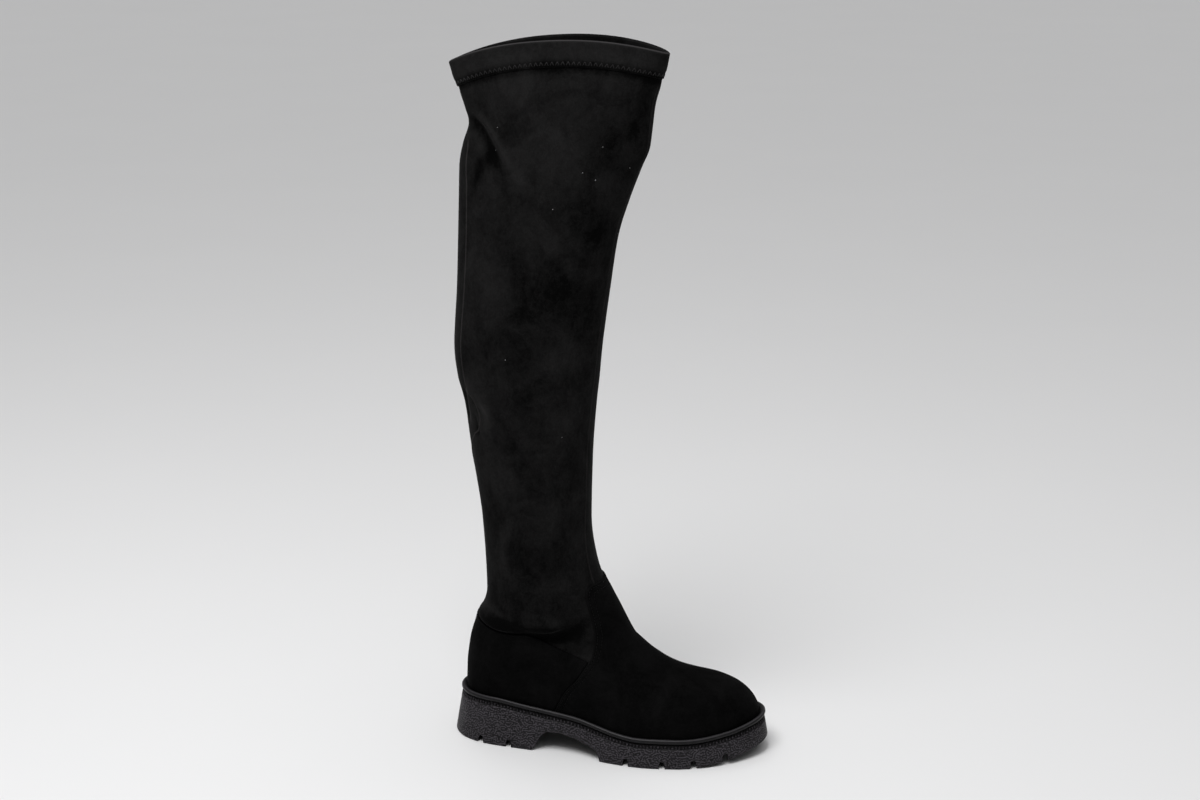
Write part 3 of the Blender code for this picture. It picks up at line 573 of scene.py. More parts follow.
def along_line(path, x, z):
    """Distance of each point from a line seen from the side, and its share of the line's length."""
    path = np.array(path, float)
    reach = reach_along(path)
    best = np.full(len(x), np.inf)
    share = np.zeros(len(x))
    for start, way, begin, length in zip(path, unit(np.diff(path, axis=0)), reach, np.diff(reach)):
        spot = np.clip((x - start[0]) * way[0] + (z - start[1]) * way[1], 0.0, length)
        apart = np.hypot(x - start[0] - spot * way[0], z - start[1] - spot * way[1])
        share = np.where(apart < best, (begin + spot) / reach[-1], share)
        best = np.minimum(best, apart)
    return best, share


def fold_near(points, widest):
    """Which points lie close to a fold up to a width."""
    x, y, z = points.T
    near = np.zeros(len(points), bool)
    for fold in FOLDS:
        if fold.width <= widest:
            near |= (along_line(fold.path, x, z)[0] < FOLD_NEAR * fold.width) & (fold.side * y > 0.0)
    return near


def hem_dip(spots):
    """Share of the dip just below the hem of the collar at each section number."""
    below = (spots - HEM_ROW) * HEM_ROW_LENGTH
    return np.where(below >= 0.0, np.exp(-((below - 1.0) / HEM_DIP_REACH) ** 2), 0.0)


def fold_sum(name, points, start):
    """The folds' depth or tone at each point: a fold fades to its ends and to the other side."""
    x, y, z = points.T
    total = start
    for fold in FOLDS:
        apart, share = along_line(fold.path, x, z)
        ends = ease(share / FOLD_FADE) * ease((1.0 - share) / FOLD_FADE)
        here = np.exp(-(apart / fold.width) ** 2) * ends * ease(fold.side * y / SIDE_FADE)
        total = total + getattr(fold, name) * here
    return total


def fold_height(points, spots):
    """How far the folds and the dip below the hem move each point of the upper's face out of it."""
    return fold_sum("depth", points, -HEM_DIP * hem_dip(spots))


def tone_with_painted_light(points, spots):
    """How much lighter or darker each point of the upper's face is: nap patches, painted shade and highlight
    along the folds, and painted shade below the hem.
    """
    x, y, z = points.T
    total = sum(nap_and_painted_light.tone * np.exp(-((x - nap_and_painted_light.x) / nap_and_painted_light.along) ** 2 - ((z - nap_and_painted_light.height) / nap_and_painted_light.up) ** 2)
                for nap_and_painted_light in NAP)
    return fold_sum("tone", points, total * ease(-y / SIDE_FADE) + HEM_SHADE * hem_dip(spots))


def row_positions():
    """Section numbers with a mesh row: every table row, and more where rows lie far apart."""
    spots = []
    for index, (here, there) in enumerate(zip(SECTIONS, SECTIONS[1:])):
        back = math.hypot(there.back_x - here.back_x, there.back_z - here.back_z)
        crown = math.hypot(there.crown_x - here.crown_x, there.crown_z - here.crown_z)
        count = math.ceil(max(back, crown) / (SHAFT_ROW if index < HEEL_ROW else FOOT_ROW))
        spots += [index + step / count for step in range(count)]
    return spots + [float(TOE_ROW)]


ROWS = row_positions()

# A face as triangles, with the place, normal and section number of each of its points
Face = namedtuple("Face", "points normals spots triangles")


def feather_numbers():
    """Numbers of the points on the upper's lower edge, once round from the heel."""
    along = [row * COLUMNS for row, spot in enumerate(ROWS) if HEEL_ROW < spot < TOE_ROW]
    back = [number + COLUMNS - 1 for number in reversed(along)]
    return [ROWS.index(HEEL_ROW) * COLUMNS, *along, (len(ROWS) - 1) * COLUMNS, *back]


def point_normals(points, triangles, guide):
    """Normals at the points of a face, on the side that the guide points to."""
    corners = points[triangles]
    flat = np.cross(corners[:, 1] - corners[:, 0], corners[:, 2] - corners[:, 0])
    normals = np.zeros_like(points)
    for k in range(3):
        np.add.at(normals, triangles[:, k], flat)
    none = np.linalg.norm(normals, axis=1) < TINY
    normals[none] = guide[none]
    normals[np.sum(normals * guide, axis=1) < 0.0] *= -1.0
    return unit(normals)


def with_middles(face, pairs, shares):
    """Points, normals and section numbers of a face, and of new points between pairs of them."""
    data = np.column_stack([face.points, face.normals, face.spots])
    one = data[[a for a, _ in pairs]]
    other = data[[b for _, b in pairs]]
    data = np.concatenate([data, one + (other - one) * np.reshape(shares, (-1, 1))])
    return data[:, :3], unit(data[:, 3:6]), data[:, 6]


def sides_of(corner):
    """The sides of a triangle, each with its lower number first."""
    return [(min(a, b), max(a, b)) for a, b in zip(corner, corner[1:] + corner[:1])]


def fan(ring):
    """Triangles from the first of some points to each pair of the others."""
    return [(ring[0], ring[k], ring[k + 1]) for k in range(1, len(ring) - 1)]


def refine(face, near):
    """The face with each triangle near a fold cut in four, and the triangles beside cut to fit."""
    middles = {}
    for corner in face.triangles[near[face.triangles].all(axis=1)].tolist():
        for pair in sides_of(corner):
            middles.setdefault(pair, len(face.points) + len(middles))
    triangles = []
    for corner in face.triangles.tolist():
        cuts = [middles.get(pair) for pair in sides_of(corner)]
        made = [number for number in cuts if number is not None]
        if len(made) == 3:
            a, b, c = corner
            d, e, f = cuts
            triangles += [(a, d, f), (d, b, e), (f, e, c), (d, e, f)]
            continue
        ring = [number for pair in zip(corner, cuts) for number in pair if number is not None]
        turn = ring.index(made[0]) if made else 0
        triangles += fan(ring[turn:] + ring[:turn])
    return Face(*with_middles(face, list(middles), np.full(len(middles), 0.5)), np.array(triangles))


def upper_face():
    """Outer face of the upper with its folds. Its two sides meet at the back down to the sole."""
    numbers = np.arange(len(ROWS) * COLUMNS).reshape(len(ROWS), COLUMNS)
    closed = np.array(ROWS) <= HEEL_ROW
    numbers[closed, -1] = numbers[closed, 0]
    numbers[-1, :] = numbers[-1, 0]
    points, guide = (np.concatenate(items) for items in zip(*(skin(t) for t in ROWS)))
    a, b, c, d = (numbers[part].ravel() for part in (np.s_[:-1, :-1], np.s_[:-1, 1:], np.s_[1:, 1:],
                                                     np.s_[1:, :-1]))
    one = np.linalg.norm(points[a] - points[c], axis=1)
    other = np.linalg.norm(points[b] - points[d], axis=1)
    short = (one < other)[:, None]
    first = np.where(short, np.stack([a, b, c], axis=1), np.stack([a, b, d], axis=1))
    second = np.where(short, np.stack([a, c, d], axis=1), np.stack([b, c, d], axis=1))
    triangles = np.concatenate([first, second])
    whole = (triangles != np.roll(triangles, 1, axis=1)).all(axis=1)
    face = Face(points, guide, np.repeat(ROWS, COLUMNS), triangles[whole])
    for widest in FOLD_CUTS:
        face = refine(face, fold_near(face.points, widest))
    points = face.points + face.normals * fold_height(face.points, face.spots)[:, None]
    normals = point_normals(points, face.triangles, face.normals)
    edge = feather_numbers()
    normals[edge, 2] = 0.0
    return Face(points, unit(normals), face.spots, face.triangles)


def split(face, values, level):
    """The face with its triangles cut along a level of the values, and the values at its points."""
    apart = values - level
    apart[np.abs(apart) < SPLIT_CLEAR] = 0.0
    values = np.where(apart == 0.0, level, values)
    signs = np.sign(apart[face.triangles])
    crossed = (signs.min(axis=1) < 0) & (signs.max(axis=1) > 0)
    triangles = [tuple(corner) for corner in face.triangles[~crossed].tolist()]
    made = {}
    for corner in face.triangles[crossed].tolist():
        for sign in (1.0, -1.0):
            ring = []
            for number, (a, b) in zip(corner, sides_of(corner)):
                if apart[number] * sign >= 0.0:
                    ring.append(number)
                if apart[a] * apart[b] < 0.0:
                    ring.append(made.setdefault((a, b), len(values) + len(made)))
            triangles += fan(ring)
    shares = [apart[a] / (apart[a] - apart[b]) for a, b in made]
    values = np.concatenate([values, np.full(len(made), level)])
    return Face(*with_middles(face, list(made), shares), np.array(triangles)), values


def level_line(face, values, level):
    """The longest line along which the values are at a level: its points and normals in order."""
    face, values = split(face, values, level)
    on = values == level
    ties = {}
    for corner in face.triangles[on[face.triangles].sum(axis=1) >= 2].tolist():
        for a, b in sides_of(corner):
            if on[a] and on[b]:
                ties.setdefault(a, set()).add(b)
                ties.setdefault(b, set()).add(a)
    best = []
    while ties:
        line = [min(ties, key=lambda number: (len(ties[number]), number))]
        while True:
            onward = ties.pop(line[-1], set()) & ties.keys()
            if not onward:
                break
            line.append(min(onward))
        best = max(best, line, key=len)
    return face.points[best], face.normals[best]


def thicken(face, keep, low, high):
    """Solid between two distances from the kept triangles, standing clear of the top of the sole."""
    used, corners = np.unique(face.triangles[keep], return_inverse=True)
    triangles = corners.reshape(-1, 3)
    base = face.points[used]
    normals = face.normals[used]
    count = len(used)
    outer = base + normals * np.broadcast_to(high, len(face.points))[used][:, None]
    points = np.concatenate([outer, base + normals * low])
    points[:, 2] = np.maximum(points[:, 2], seat_z(points[:, 0]) + SEAT_GAP)
    faces = triangles.tolist() + (triangles[:, ::-1] + count).tolist()
    edges = set()
    for k in range(3):
        edges.update(zip(triangles[:, k].tolist(), triangles[:, (k + 1) % 3].tolist()))
    faces += [(b, a, a + count, b + count) for a, b in sorted(edges) if (b, a) not in edges]
    return points, faces


def vamp_edge_x(z):
    return held(VAMP_EDGE, "height", "x", z)


def in_vamp(face):
    """How far inside the vamp's pattern, with its rounded corner, each point of a face lies."""
    x, _, z = face.points.T
    one = x - vamp_edge_x(z)
    other = VAMP_TAB_TOP - z
    corner = TAB_CORNER - np.hypot(TAB_CORNER - one, TAB_CORNER - other)
    inside = np.where((one < TAB_CORNER) & (other < TAB_CORNER), corner, np.minimum(one, other))
    return np.where(face.spots < VAMP_ROW, (face.spots - VAMP_ROW) * ROW_REACH, inside)


def in_counter(face):
    """How far inside the counter's pattern each point of a face lies, below the roll, behind the vamp."""
    x, _, z = face.points.T
    drop = np.minimum(held(COUNTER_TOP, "x", "height", x) - z, (face.spots - COUNTER_ROW) * ROW_REACH)
    return np.minimum(drop, vamp_edge_x(z) - SEAM_GAP - x)


def panel_solid(face, inside, rolls):
    """An overlay on the upper, its cut edge and stitch lines pressed down, with the tone of its points,
    painted shade and highlight along its edge and stitch lines.
    """
    values = inside(face)
    for roll in rolls:
        face, values = split(face, values, roll.inset)
    keep = values[face.triangles].mean(axis=1) > 0.0
    share, tone = (linear(rolls, "inset", name, values) for name in ("share", "tone"))
    used = np.unique(face.triangles[keep])
    return thicken(face, keep, GAP, GAP + PANEL * share), np.concatenate([tone[used], np.zeros(len(used))])


def strips(count, rings, closed):
    """Faces between rings of points that follow each other, and back to the first where closed."""
    faces = []
    for i in range(rings if closed else rings - 1):
        here = i * count
        there = (i + 1) % rings * count
        for j in range(count):
            k = (j + 1) % count
            faces.append((here + j, here + k, there + k, there + j))
    return faces


def ring_solid(rings):
    """Closed tube of rings that are one closed line each."""
    return np.concatenate(rings), strips(len(rings[0]), len(rings), True)


def capped(levels):
    """Solid of closed lines one above the other, its ends filled by strips from side to side."""
    count = len(levels[0])
    faces = strips(count, len(levels), False)
    for base, turned in ((0, True), ((len(levels) - 1) * count, False)):
        for j in range(count // 2):
            ends = [base + j, base + j + 1, base + (count - j - 1) % count, base + (count - j) % count]
            ends = list(dict.fromkeys(ends))
            if len(ends) > 2:
                faces.append(ends[::-1] if turned else ends)
    return np.concatenate(levels), faces


def join(solids):
    """Several solids as the points and faces of one mesh."""
    faces = []
    count = 0
    for points, some_faces in solids:
        faces += [tuple(number + count for number in corner) for corner in some_faces]
        count += len(points)
    return np.concatenate([points for points, _ in solids]), faces


def strand(points, normals, radii, flat=1.0, sides=6):
    """Thread or ridge swept along a line, flat times as high as it is wide."""
    ways = unit(np.gradient(points, axis=0))
    across = unit(np.cross(ways, normals))
    ups = np.cross(across, ways)
    rings = []
    for turn in 2.0 * math.pi * np.arange(sides) / sides:
        side = np.cos(turn) * across + np.sin(turn) * flat * ups
        rings.append(points + side * np.reshape(radii, (-1, 1)))
    last = (len(points) - 1) * sides
    caps = [tuple(range(sides))[::-1], tuple(range(last, last + sides))]
    return np.stack(rings, axis=1).reshape(-1, 3), strips(sides, len(points), False) + caps


def at_reach(points, normals, wanted):
    """Places and normals on a line at distances along it."""
    reach = reach_along(points)
    return looked_up(wanted, reach, points), unit(looked_up(wanted, reach, normals))


def one_stitch(points, normals, stitch):
    lift = stitch.arch * np.sin(math.pi * STITCH_SHARES) ** STITCH_BLUNT - STITCH_SUNK * stitch.radius
    return strand(points + normals * lift[:, None], normals, stitch.radius * STITCH_RADII)


def stitch_row(points, normals, stitch):
    """A row of stitches along a line."""
    row = []
    for number in range(int(reach_along(points)[-1] / stitch.pitch)):
        wanted = number * stitch.pitch + stitch.length * STITCH_SHARES
        row.append(one_stitch(*at_reach(points, normals, wanted), stitch))
    return join(row)


def band_rings():
    """Outer rings of the turned hem from its lower edge to the rim, with their normals and tones."""
    skins = []
    for share in np.linspace(0.0, 1.0, HEM_STEPS) ** HEM_CROWD:
        t = HEM_ROW * (1.0 - share)
        points, normals = skin(t)
        skins.append((points + normals * fold_height(points, np.full(len(points), t))[:, None], normals))
    outer = []
    tones = []
    for points, normals in skins:
        above = np.linalg.norm(points - skins[0][0], axis=1)
        rise, tone = (linear(HEM_RISE, "above", name, above) for name in ("share", "tone"))
        outer.append(points + normals * (GAP + BAND * rise)[:, None])
        tones.append(tone[:-1])
    return skins, outer, tones


def band_solid():
    """The turned hem: a strip folded over the rim, down to the hem line inside and out."""
    skins, rings, tones = band_rings()
    rim, rim_normal = skins[-1]
    up = unit(rim - skins[0][0])
    outer = GAP + BAND
    inner = -WALL - GAP - BAND
    for step in range(1, FOLD_STEPS):
        turn = math.pi * step / FOLD_STEPS
        reach = (outer + inner) / 2.0 + math.cos(turn) * (outer - inner) / 2.0
        rings.append(rim + rim_normal * reach + up * (GAP + BAND) * math.sin(turn))
    few = skins[::-HEM_SKIP] + [skins[0]]
    rings += [points + normals * inner for points, normals in few]
    rings += [points + normals * (inner + BAND) for points, normals in reversed(few)]
    rings += [rim + rim_normal * reach + up * GAP for reach in (-WALL - GAP, GAP)]
    rings += [points + normals * GAP for points, normals in few]
    tone = np.zeros((len(rings), len(rim) - 1))
    tone[:HEM_STEPS] = tones
    # Painted highlight along the crest of the fold over the rim
    for step, crest in enumerate(CREST_HIGHLIGHT_TONES):
        tone[HEM_STEPS - 1 + step] = crest
    return ring_solid([ring[:-1] for ring in rings]), tone.ravel()


def zigzag_solid():
    """Zigzag stitches round the collar, over the lower edge of the turned hem."""
    skins, outer, _ = band_rings()
    above = np.array([np.linalg.norm(points - outer[0], axis=1).mean() for points in outer])
    rows = [int(np.argmin(np.abs(above - height))) for height in ZIGZAG_HEIGHTS]
    lengths = [reach_along(outer[row])[-1] for row in rows]
    count = 2 * int(lengths[0] / ZIGZAG.pitch / 2.0)
    wanted = np.arange(count + 1) / count
    ends = [at_reach(outer[row], skins[row][1], wanted * length) for row, length in zip(rows, lengths)]
    share = STITCH_SHARES[:, None]
    row = []
    for number in range(count):
        points, normals = (start[number] * (1.0 - share) + stop[number + 1] * share
                           for start, stop in zip(ends[number % 2], ends[1 - number % 2]))
        row.append(one_stitch(points, unit(normals), ZIGZAG))
    return join(row)


def rounded(section, times):
    """A closed section with its corners cut again and again, so that it is round."""
    line = np.array(section)
    for _ in range(times):
        after = np.roll(line, -1, axis=0)
        near = (1.0 - CORNER_CUT) * line + CORNER_CUT * after
        far = CORNER_CUT * line + (1.0 - CORNER_CUT) * after
        line = np.stack([near, far], axis=1).reshape(-1, 2)
    return line


def welt_solid(face):
    """Bead round the edge of the upper, its inner side leaning with the upper, and its points' tone: a
    painted highlight along its upper outer edge.
    """
    numbers = feather_numbers()
    walls = np.array([skin(ROWS[number // COLUMNS])[1][number % COLUMNS] for number in numbers])
    lean = np.maximum(-walls[:, 2] / np.linalg.norm(walls[:, :2], axis=1), 0.0)
    half = len(numbers) // 2
    round_x = face.points[numbers + numbers[:1], 0]
    lean = np.append(lean, lean[0])
    turns = np.linspace(0.0, math.pi, SOLE_TURNS)
    x = station_of(turns)
    leans = {-1: np.interp(x, round_x[:half + 1], lean[:half + 1]),
             1: np.interp(x, round_x[half:][::-1], lean[half:][::-1])}
    start = GAP + PANEL + WELT_CLEAR
    rings = []
    tones = []
    for out, up_share in rounded(BEAD, BEAD_CUTS):
        # How far each point of the section lies from the painted highlight on the bead's edge
        highlight_apart = math.hypot(out - BEAD_HIGHLIGHT_EDGE[0], up_share - BEAD_HIGHLIGHT_EDGE[1]) / BEAD_HIGHLIGHT_REACH
        up = up_share * WELT_HEIGHT
        reach = {side: start + leans[side] * (up + SEAT_GAP) * (1.0 - out) + out * WELT_WIDTH
                 for side in leans}
        ring = both_ways(*(outline_side(turns, side, feather_inset(x) - reach[side]) for side in leans))
        rings.append(on_seat(ring, SEAT_GAP + up))
        tones.append(np.full(len(ring), math.exp(-highlight_apart * highlight_apart)))
    return ring_solid(rings), np.concatenate(tones)


def tread_z(x):
    """The plane of the floor, rising in the toe spring."""
    share = np.clip((np.asarray(x, float) - SPRING_START) / (SOLE_LENGTH - SPRING_START), 0.0, 1.0)
    return TOE_SPRING * share * share


def underside_z(x):
    """Underside of the sole: tread, heel breast, arch and the round grooves between the lugs."""
    height = linear(SHANK, "x", "height", x)
    for middle in GROOVES:
        share = np.clip(1.0 - ((x - middle) / GROOVE_HALF_WIDTH) ** GROOVE_POWER, 0.0, 1.0)
        height = np.maximum(height, GROOVE_DEPTH * np.sqrt(share))
    return tread_z(x) + height


def sole_stations():
    """Stations along the sole: even turns, the rows of the shank and the edges of each groove."""
    fixed = column(SHANK, "x") + [middle + share * GROOVE_HALF_WIDTH for middle in GROOVES
                                  for share in GROOVE_SHARES]
    between = [spot for spot in station_of(np.linspace(0.0, math.pi, SOLE_TURNS))[1:-1]
               if min(abs(spot - other) for other in fixed) > STATION_CLEAR]
    return np.array([0.0] + sorted(fixed + between) + [SOLE_LENGTH])


# A level of the sole: its height, how far it stands in, its tone, and where it lies from the top
# of the sole, or None where it keeps its own height
Level = namedtuple("Level", "height step from_seat tone")


def sole_levels(under, top):
    """Levels of the sole from the tread up: round edge, grained side, ribbed band, groove and rim."""
    foot = RIB_BAND + RIM_GROOVE
    lip = top - foot - BAND_LIP
    levels = []
    for turn in math.pi / 2.0 * np.arange(BEVEL_STEPS + 1) / BEVEL_STEPS:
        height = under + EDGE_BEVEL * (1.0 - math.cos(turn))
        levels.append(Level(height, EDGE_BEVEL * (1.0 - math.sin(turn)), None, 1.0))
    for share in np.arange(1, WALL_LEVELS) / WALL_LEVELS:
        levels.append(Level((under + EDGE_BEVEL) * (1.0 - share) + lip * share, 0.0, None, 1.0))
    # The lip gets half tone and the ribbed band, the groove and the rim none: painted shade in the recess
    # under the welt
    return levels + [
        Level(lip, 0.0, -foot - BAND_LIP, 1.0),
        Level(top - foot, LIP_STEP, -foot, LIP_TONE),
        Level(top - foot, RIB_STEP, LIP_SLOPE - foot, 0.0),
        Level(top - RIM_GROOVE, RIB_STEP, -RIM_GROOVE, 0.0),
        Level(top - RIM_GROOVE, RIB_STEP + RIM_GROOVE, RIM_SLOPE - RIM_GROOVE, 0.0),
        Level(top, RIB_STEP + RIM_GROOVE, 0.0, 0.0),
    ]


def outsole_solid():
    """The sole, the tone of its points and the numbers of the faces of its tread."""
    stations = sole_stations()
    turns = turn_of(stations)
    rings = []
    tones = []
    for level in sole_levels(underside_z(stations), seat_z(stations)):
        ring = loop_from_sides(turns, SIDE_FLARE * (level.height - tread_z(stations)) + level.step)
        if level.from_seat is None:
            rings.append(np.column_stack([ring, both_ways(level.height, level.height)]))
        else:
            rings.append(on_seat(ring, level.from_seat))
        tones.append(np.full(len(ring), level.tone))
    first = (len(rings) - 1) * len(rings[0])
    return capped(rings), np.concatenate(tones), range(first, first + len(rings[0]) // 2)


def ribs_solid():
    """Row of ribs round the sole, and the tone of its points: painted shade in the gaps between the ribs and
    at their roots.
    """
    turns = np.linspace(0.0, math.pi, RIB_TURNS)
    x = station_of(turns)

    def closed_loop(inset):
        line = loop_from_sides(turns, inset)
        return np.concatenate([line, line[:1]])

    reach = reach_along(closed_loop(0.0))
    count = int(reach[-1] / RIB_PITCH) * RIB_SAMPLES
    wanted = np.arange(count) * reach[-1] / count
    wave = np.cos(2.0 * math.pi * np.arange(count) / RIB_SAMPLES)
    tooth = np.clip(RIB_MEAN + RIB_SWING * wave, 0.0, 1.0)
    rings = []
    tones = []
    for point in RIB_SECTION:
        below = RIM_GROOVE + RIB_BAND * (1.0 - point.up)
        inset = SIDE_FLARE * (seat_z(x) - below - tread_z(x))
        deep = looked_up(wanted, reach, closed_loop(inset + RIB_STEP + RIB_ROOT))
        proud = looked_up(wanted, reach, closed_loop(inset))
        ring = deep + (proud - deep) * (tooth * point.bulge)[:, None]
        rings.append(on_seat(ring, -below))
        tones.append(tooth * point.bulge)
    return ring_solid(rings), np.concatenate(tones)


def insole_solid():
    """Flat board on the sole, clear of the upper's inner face, its upper edge rounded."""
    turns = np.linspace(0.0, math.pi, INSOLE_TURNS)
    inset = feather_inset(station_of(turns)) + WALL + INSOLE_CLEAR
    levels = []
    for up, step in ((0.0, 0.0), (INSOLE_THICKNESS - INSOLE_EDGE, 0.0),
                     (INSOLE_THICKNESS - INSOLE_ROUND * INSOLE_EDGE, INSOLE_ROUND * INSOLE_EDGE),
                     (INSOLE_THICKNESS, INSOLE_EDGE)):
        ring = loop_from_sides(turns, inset + step)
        levels.append(on_seat(ring, SEAT_GAP + up))
    return capped(levels)


def seam_solid(tree, seam, way):
    """A flat ridge where rays along x meet the upper at the rows of a seam."""
    heights = np.arange(seam[0].height, seam[-1].height, SEAM_STEP)
    points = []
    normals = []
    for height, y in zip(heights, held(seam, "height", "y", heights)):
        hit, normal, _, _ = tree.ray_cast((-way * RAY_START, y, height), (way, 0.0, 0.0))
        if hit is not None:
            points.append(hit)
            normals.append(normal if normal[0] * way < 0.0 else -normal)
    radii = np.full(len(points), SEAM_HALF)
    radii[[0, -1]] = SEAM_TIP
    return strand(np.array(points), np.array(normals), radii, SEAM_FLAT, SEAM_SIDES)


def lint_solid(tree):
    """Short bent fibres that lie on the fabric, each turned another way."""
    bits = []
    share = np.linspace(-1.0, 1.0, len(LINT_TAPER))[:, None]
    for number, (x, z) in enumerate(LINT):
        hit, normal, _, _ = tree.ray_cast((x, -RAY_START, z), (0.0, 1.0, 0.0))
        normal = np.array(normal if normal[1] < 0.0 else -normal)
        turn = number * GOLDEN_TURN
        way = np.array([math.cos(turn), 0.0, math.sin(turn)])
        way -= normal * way.dot(normal)
        length = LINT_LENGTH * (LINT_SHORT + (1.0 - LINT_SHORT) * math.sin(LINT_WAVE * turn) ** 2)
        line = np.array(hit) + normal * LINT_RADIUS * LINT_LIFT + share * way * length / 2.0
        line = line + (share ** 2 - 0.5) * np.cross(way, normal) * LINT_BEND
        bits.append(strand(line, np.tile(normal, (len(line), 1)), LINT_RADIUS * LINT_TAPER))
    return join(bits)


# Materials: how far a point's tone moves the suede's colour, the colour of the painted highlight on
# the collar's crest, the sole's grain and the contrast of soft clouds
POINT_TONE_DEPTH = 0.7
CREST_HIGHLIGHT_COLOUR = (0.038, 0.036, 0.037)
GRAIN_SCALE = 255.0
GRAIN_FREQUENCY = 2.0
CLOUD_RAMP = ((0.3, 0.0), (0.7, 1.0))


def new_material(name):
    """An empty procedural material: its node tree, its shader and the coordinates of the boot."""
    material = bpy.data.materials.new(name)
    material.use_nodes = True
    tree = material.node_tree
    place = tree.nodes.new("ShaderNodeTexCoord").outputs["Object"]
    return material, tree, tree.nodes["Principled BSDF"], place


def plug(tree, socket, value):
    """Links a socket to another, or sets it to a number or colour."""
    if isinstance(value, bpy.types.NodeSocket):
        tree.links.new(value, socket)
    else:
        socket.default_value = (*value, 1.0) if isinstance(value, tuple) else value


def made_node(tree, kind, **inputs):
    """A new node with its inputs linked or set."""
    node = tree.nodes.new("ShaderNode" + kind)
    for name, value in inputs.items():
        plug(tree, node.inputs[name], value)
    return node


def noise(tree, place, scale, detail=4.0, rough=0.55, distortion=0.0):
    return made_node(tree, "TexNoise", Vector=place, Scale=scale, Detail=detail, Roughness=rough,
                     Distortion=distortion).outputs["Fac"]


def stretched(tree, place, scale):
    node = made_node(tree, "Mapping", Vector=place)
    node.inputs["Scale"].default_value = (1.0, 1.0, scale)
    return node.outputs["Vector"]


def worms(tree, place):
    """Evenly spaced ridges that wander and branch like crackled rubber."""
    node = made_node(tree, "TexGabor", Vector=place, Scale=GRAIN_SCALE, Frequency=GRAIN_FREQUENCY,
                     Anisotropy=0.0)
    node.gabor_type = "3D"
    return node.outputs["Value"]


def ramp(tree, value, stops):
    """Grey ramp with (position, grey) stops."""
    node = made_node(tree, "ValToRGB", Fac=value)
    bar = node.color_ramp.elements
    while len(bar) < len(stops):
        bar.new(0.5)
    for element, (spot, grey) in zip(bar, stops):
        element.position = spot
        element.color = (grey, grey, grey, 1.0)
    return node.outputs["Color"]


def mixed(tree, factor, one, other, kind="MIX"):
    """A mix of two colours; its sockets for colours share their names with others."""
    node = tree.nodes.new("ShaderNodeMix")
    node.data_type = "RGBA"
    node.blend_type = kind
    inputs = {item.identifier: item for item in node.inputs}
    for name, value in (("Factor_Float", factor), ("A_Color", one), ("B_Color", other)):
        plug(tree, inputs[name], value)
    return next(item for item in node.outputs if item.identifier == "Result_Color")


def point_tone(tree):
    """The tone that make_piece keeps at the points of a mesh."""
    node = tree.nodes.new("ShaderNodeAttribute")
    node.attribute_name = "tone"
    return node.outputs["Fac"]


def worked(tree, operation, *values):
    """A clamped sum, product or difference of sockets and numbers."""
    node = tree.nodes.new("ShaderNodeMath")
    node.operation = operation
    node.use_clamp = True
    for socket, value in zip(node.inputs, values):
        plug(tree, socket, value)
    return node.outputs[0]


def finished(tree, shader, colour, roughness, bumps, **values):
    """Colour, roughness and bumps (height, strength, metres) of a shader, and what is even all over."""
    plug(tree, shader.inputs["Base Color"], colour)
    plug(tree, shader.inputs["Roughness"], roughness)
    for height, strength, distance in bumps:
        node = made_node(tree, "Bump", Height=height, Strength=strength, Distance=distance)
        for link in shader.inputs["Normal"].links:
            plug(tree, node.inputs["Normal"], link.from_socket)
        plug(tree, shader.inputs["Normal"], node.outputs["Normal"])
    for name, value in values.items():
        plug(tree, shader.inputs[name.replace("_", " ")], value)


def suede(name, dark, light, sheen, streaks):
    """Napped suede: clouds where the nap was brushed, short fibres and a soft sheen."""
    material, tree, shader, place = new_material(name)
    clouds = noise(tree, stretched(tree, place, 0.75), 34.0, 7.0, 0.66, 0.6)
    strokes = noise(tree, stretched(tree, place, streaks), 300.0, 5.0, 0.65, 0.8)
    fibres = noise(tree, place, 1300.0, 2.0, 0.6)
    tone = ramp(tree, clouds, ((0.37, 0.0), (0.66, 1.0)))
    tone = mixed(tree, 0.32, tone, ramp(tree, strokes, ((0.38, 0.0), (0.64, 1.0))))
    tone = mixed(tree, 0.22, tone, ramp(tree, fibres, ((0.38, 0.0), (0.68, 1.0))))
    # The point's tone, nap patches with painted shade and highlight, moves the colour from dark to light;
    # above one it mixes in the painted highlight of the collar's crest
    nap_and_painted_light = point_tone(tree)
    colour = mixed(tree, worked(tree, "MULTIPLY_ADD", nap_and_painted_light, POINT_TONE_DEPTH, tone), dark, light)
    colour = mixed(tree, worked(tree, "SUBTRACT", nap_and_painted_light, 1.0), colour, CREST_HIGHLIGHT_COLOUR)
    finished(tree, shader, colour, ramp(tree, clouds, ((0.3, 1.0), (0.75, 0.9))),
             ((strokes, 0.12, 0.0006), (fibres, 0.35, 0.0003)), Specular_IOR_Level=0.03,
             Sheen_Weight=sheen, Sheen_Roughness=0.35, Sheen_Tint=(0.88, 0.86, 0.87))
    return material


def lining_knit():
    """Reverse of the stretch fabric inside the shaft: fine matt knit."""
    material, tree, shader, place = new_material("lining_knit")
    knit = made_node(tree, "TexVoronoi", Vector=stretched(tree, place, 0.6), Scale=1400.0)
    loops = knit.outputs["Distance"]
    clouds = noise(tree, place, 30.0, 5.0)
    tone = mixed(tree, 0.4, ramp(tree, clouds, CLOUD_RAMP), loops)
    finished(tree, shader, mixed(tree, tone, (0.010, 0.0095, 0.0095), (0.028, 0.027, 0.027)),
             ramp(tree, clouds, ((0.3, 0.98), (0.7, 0.88))), ((loops, 0.4, 0.0003),),
             Specular_IOR_Level=0.15, Sheen_Weight=0.1, Sheen_Roughness=0.5)
    return material


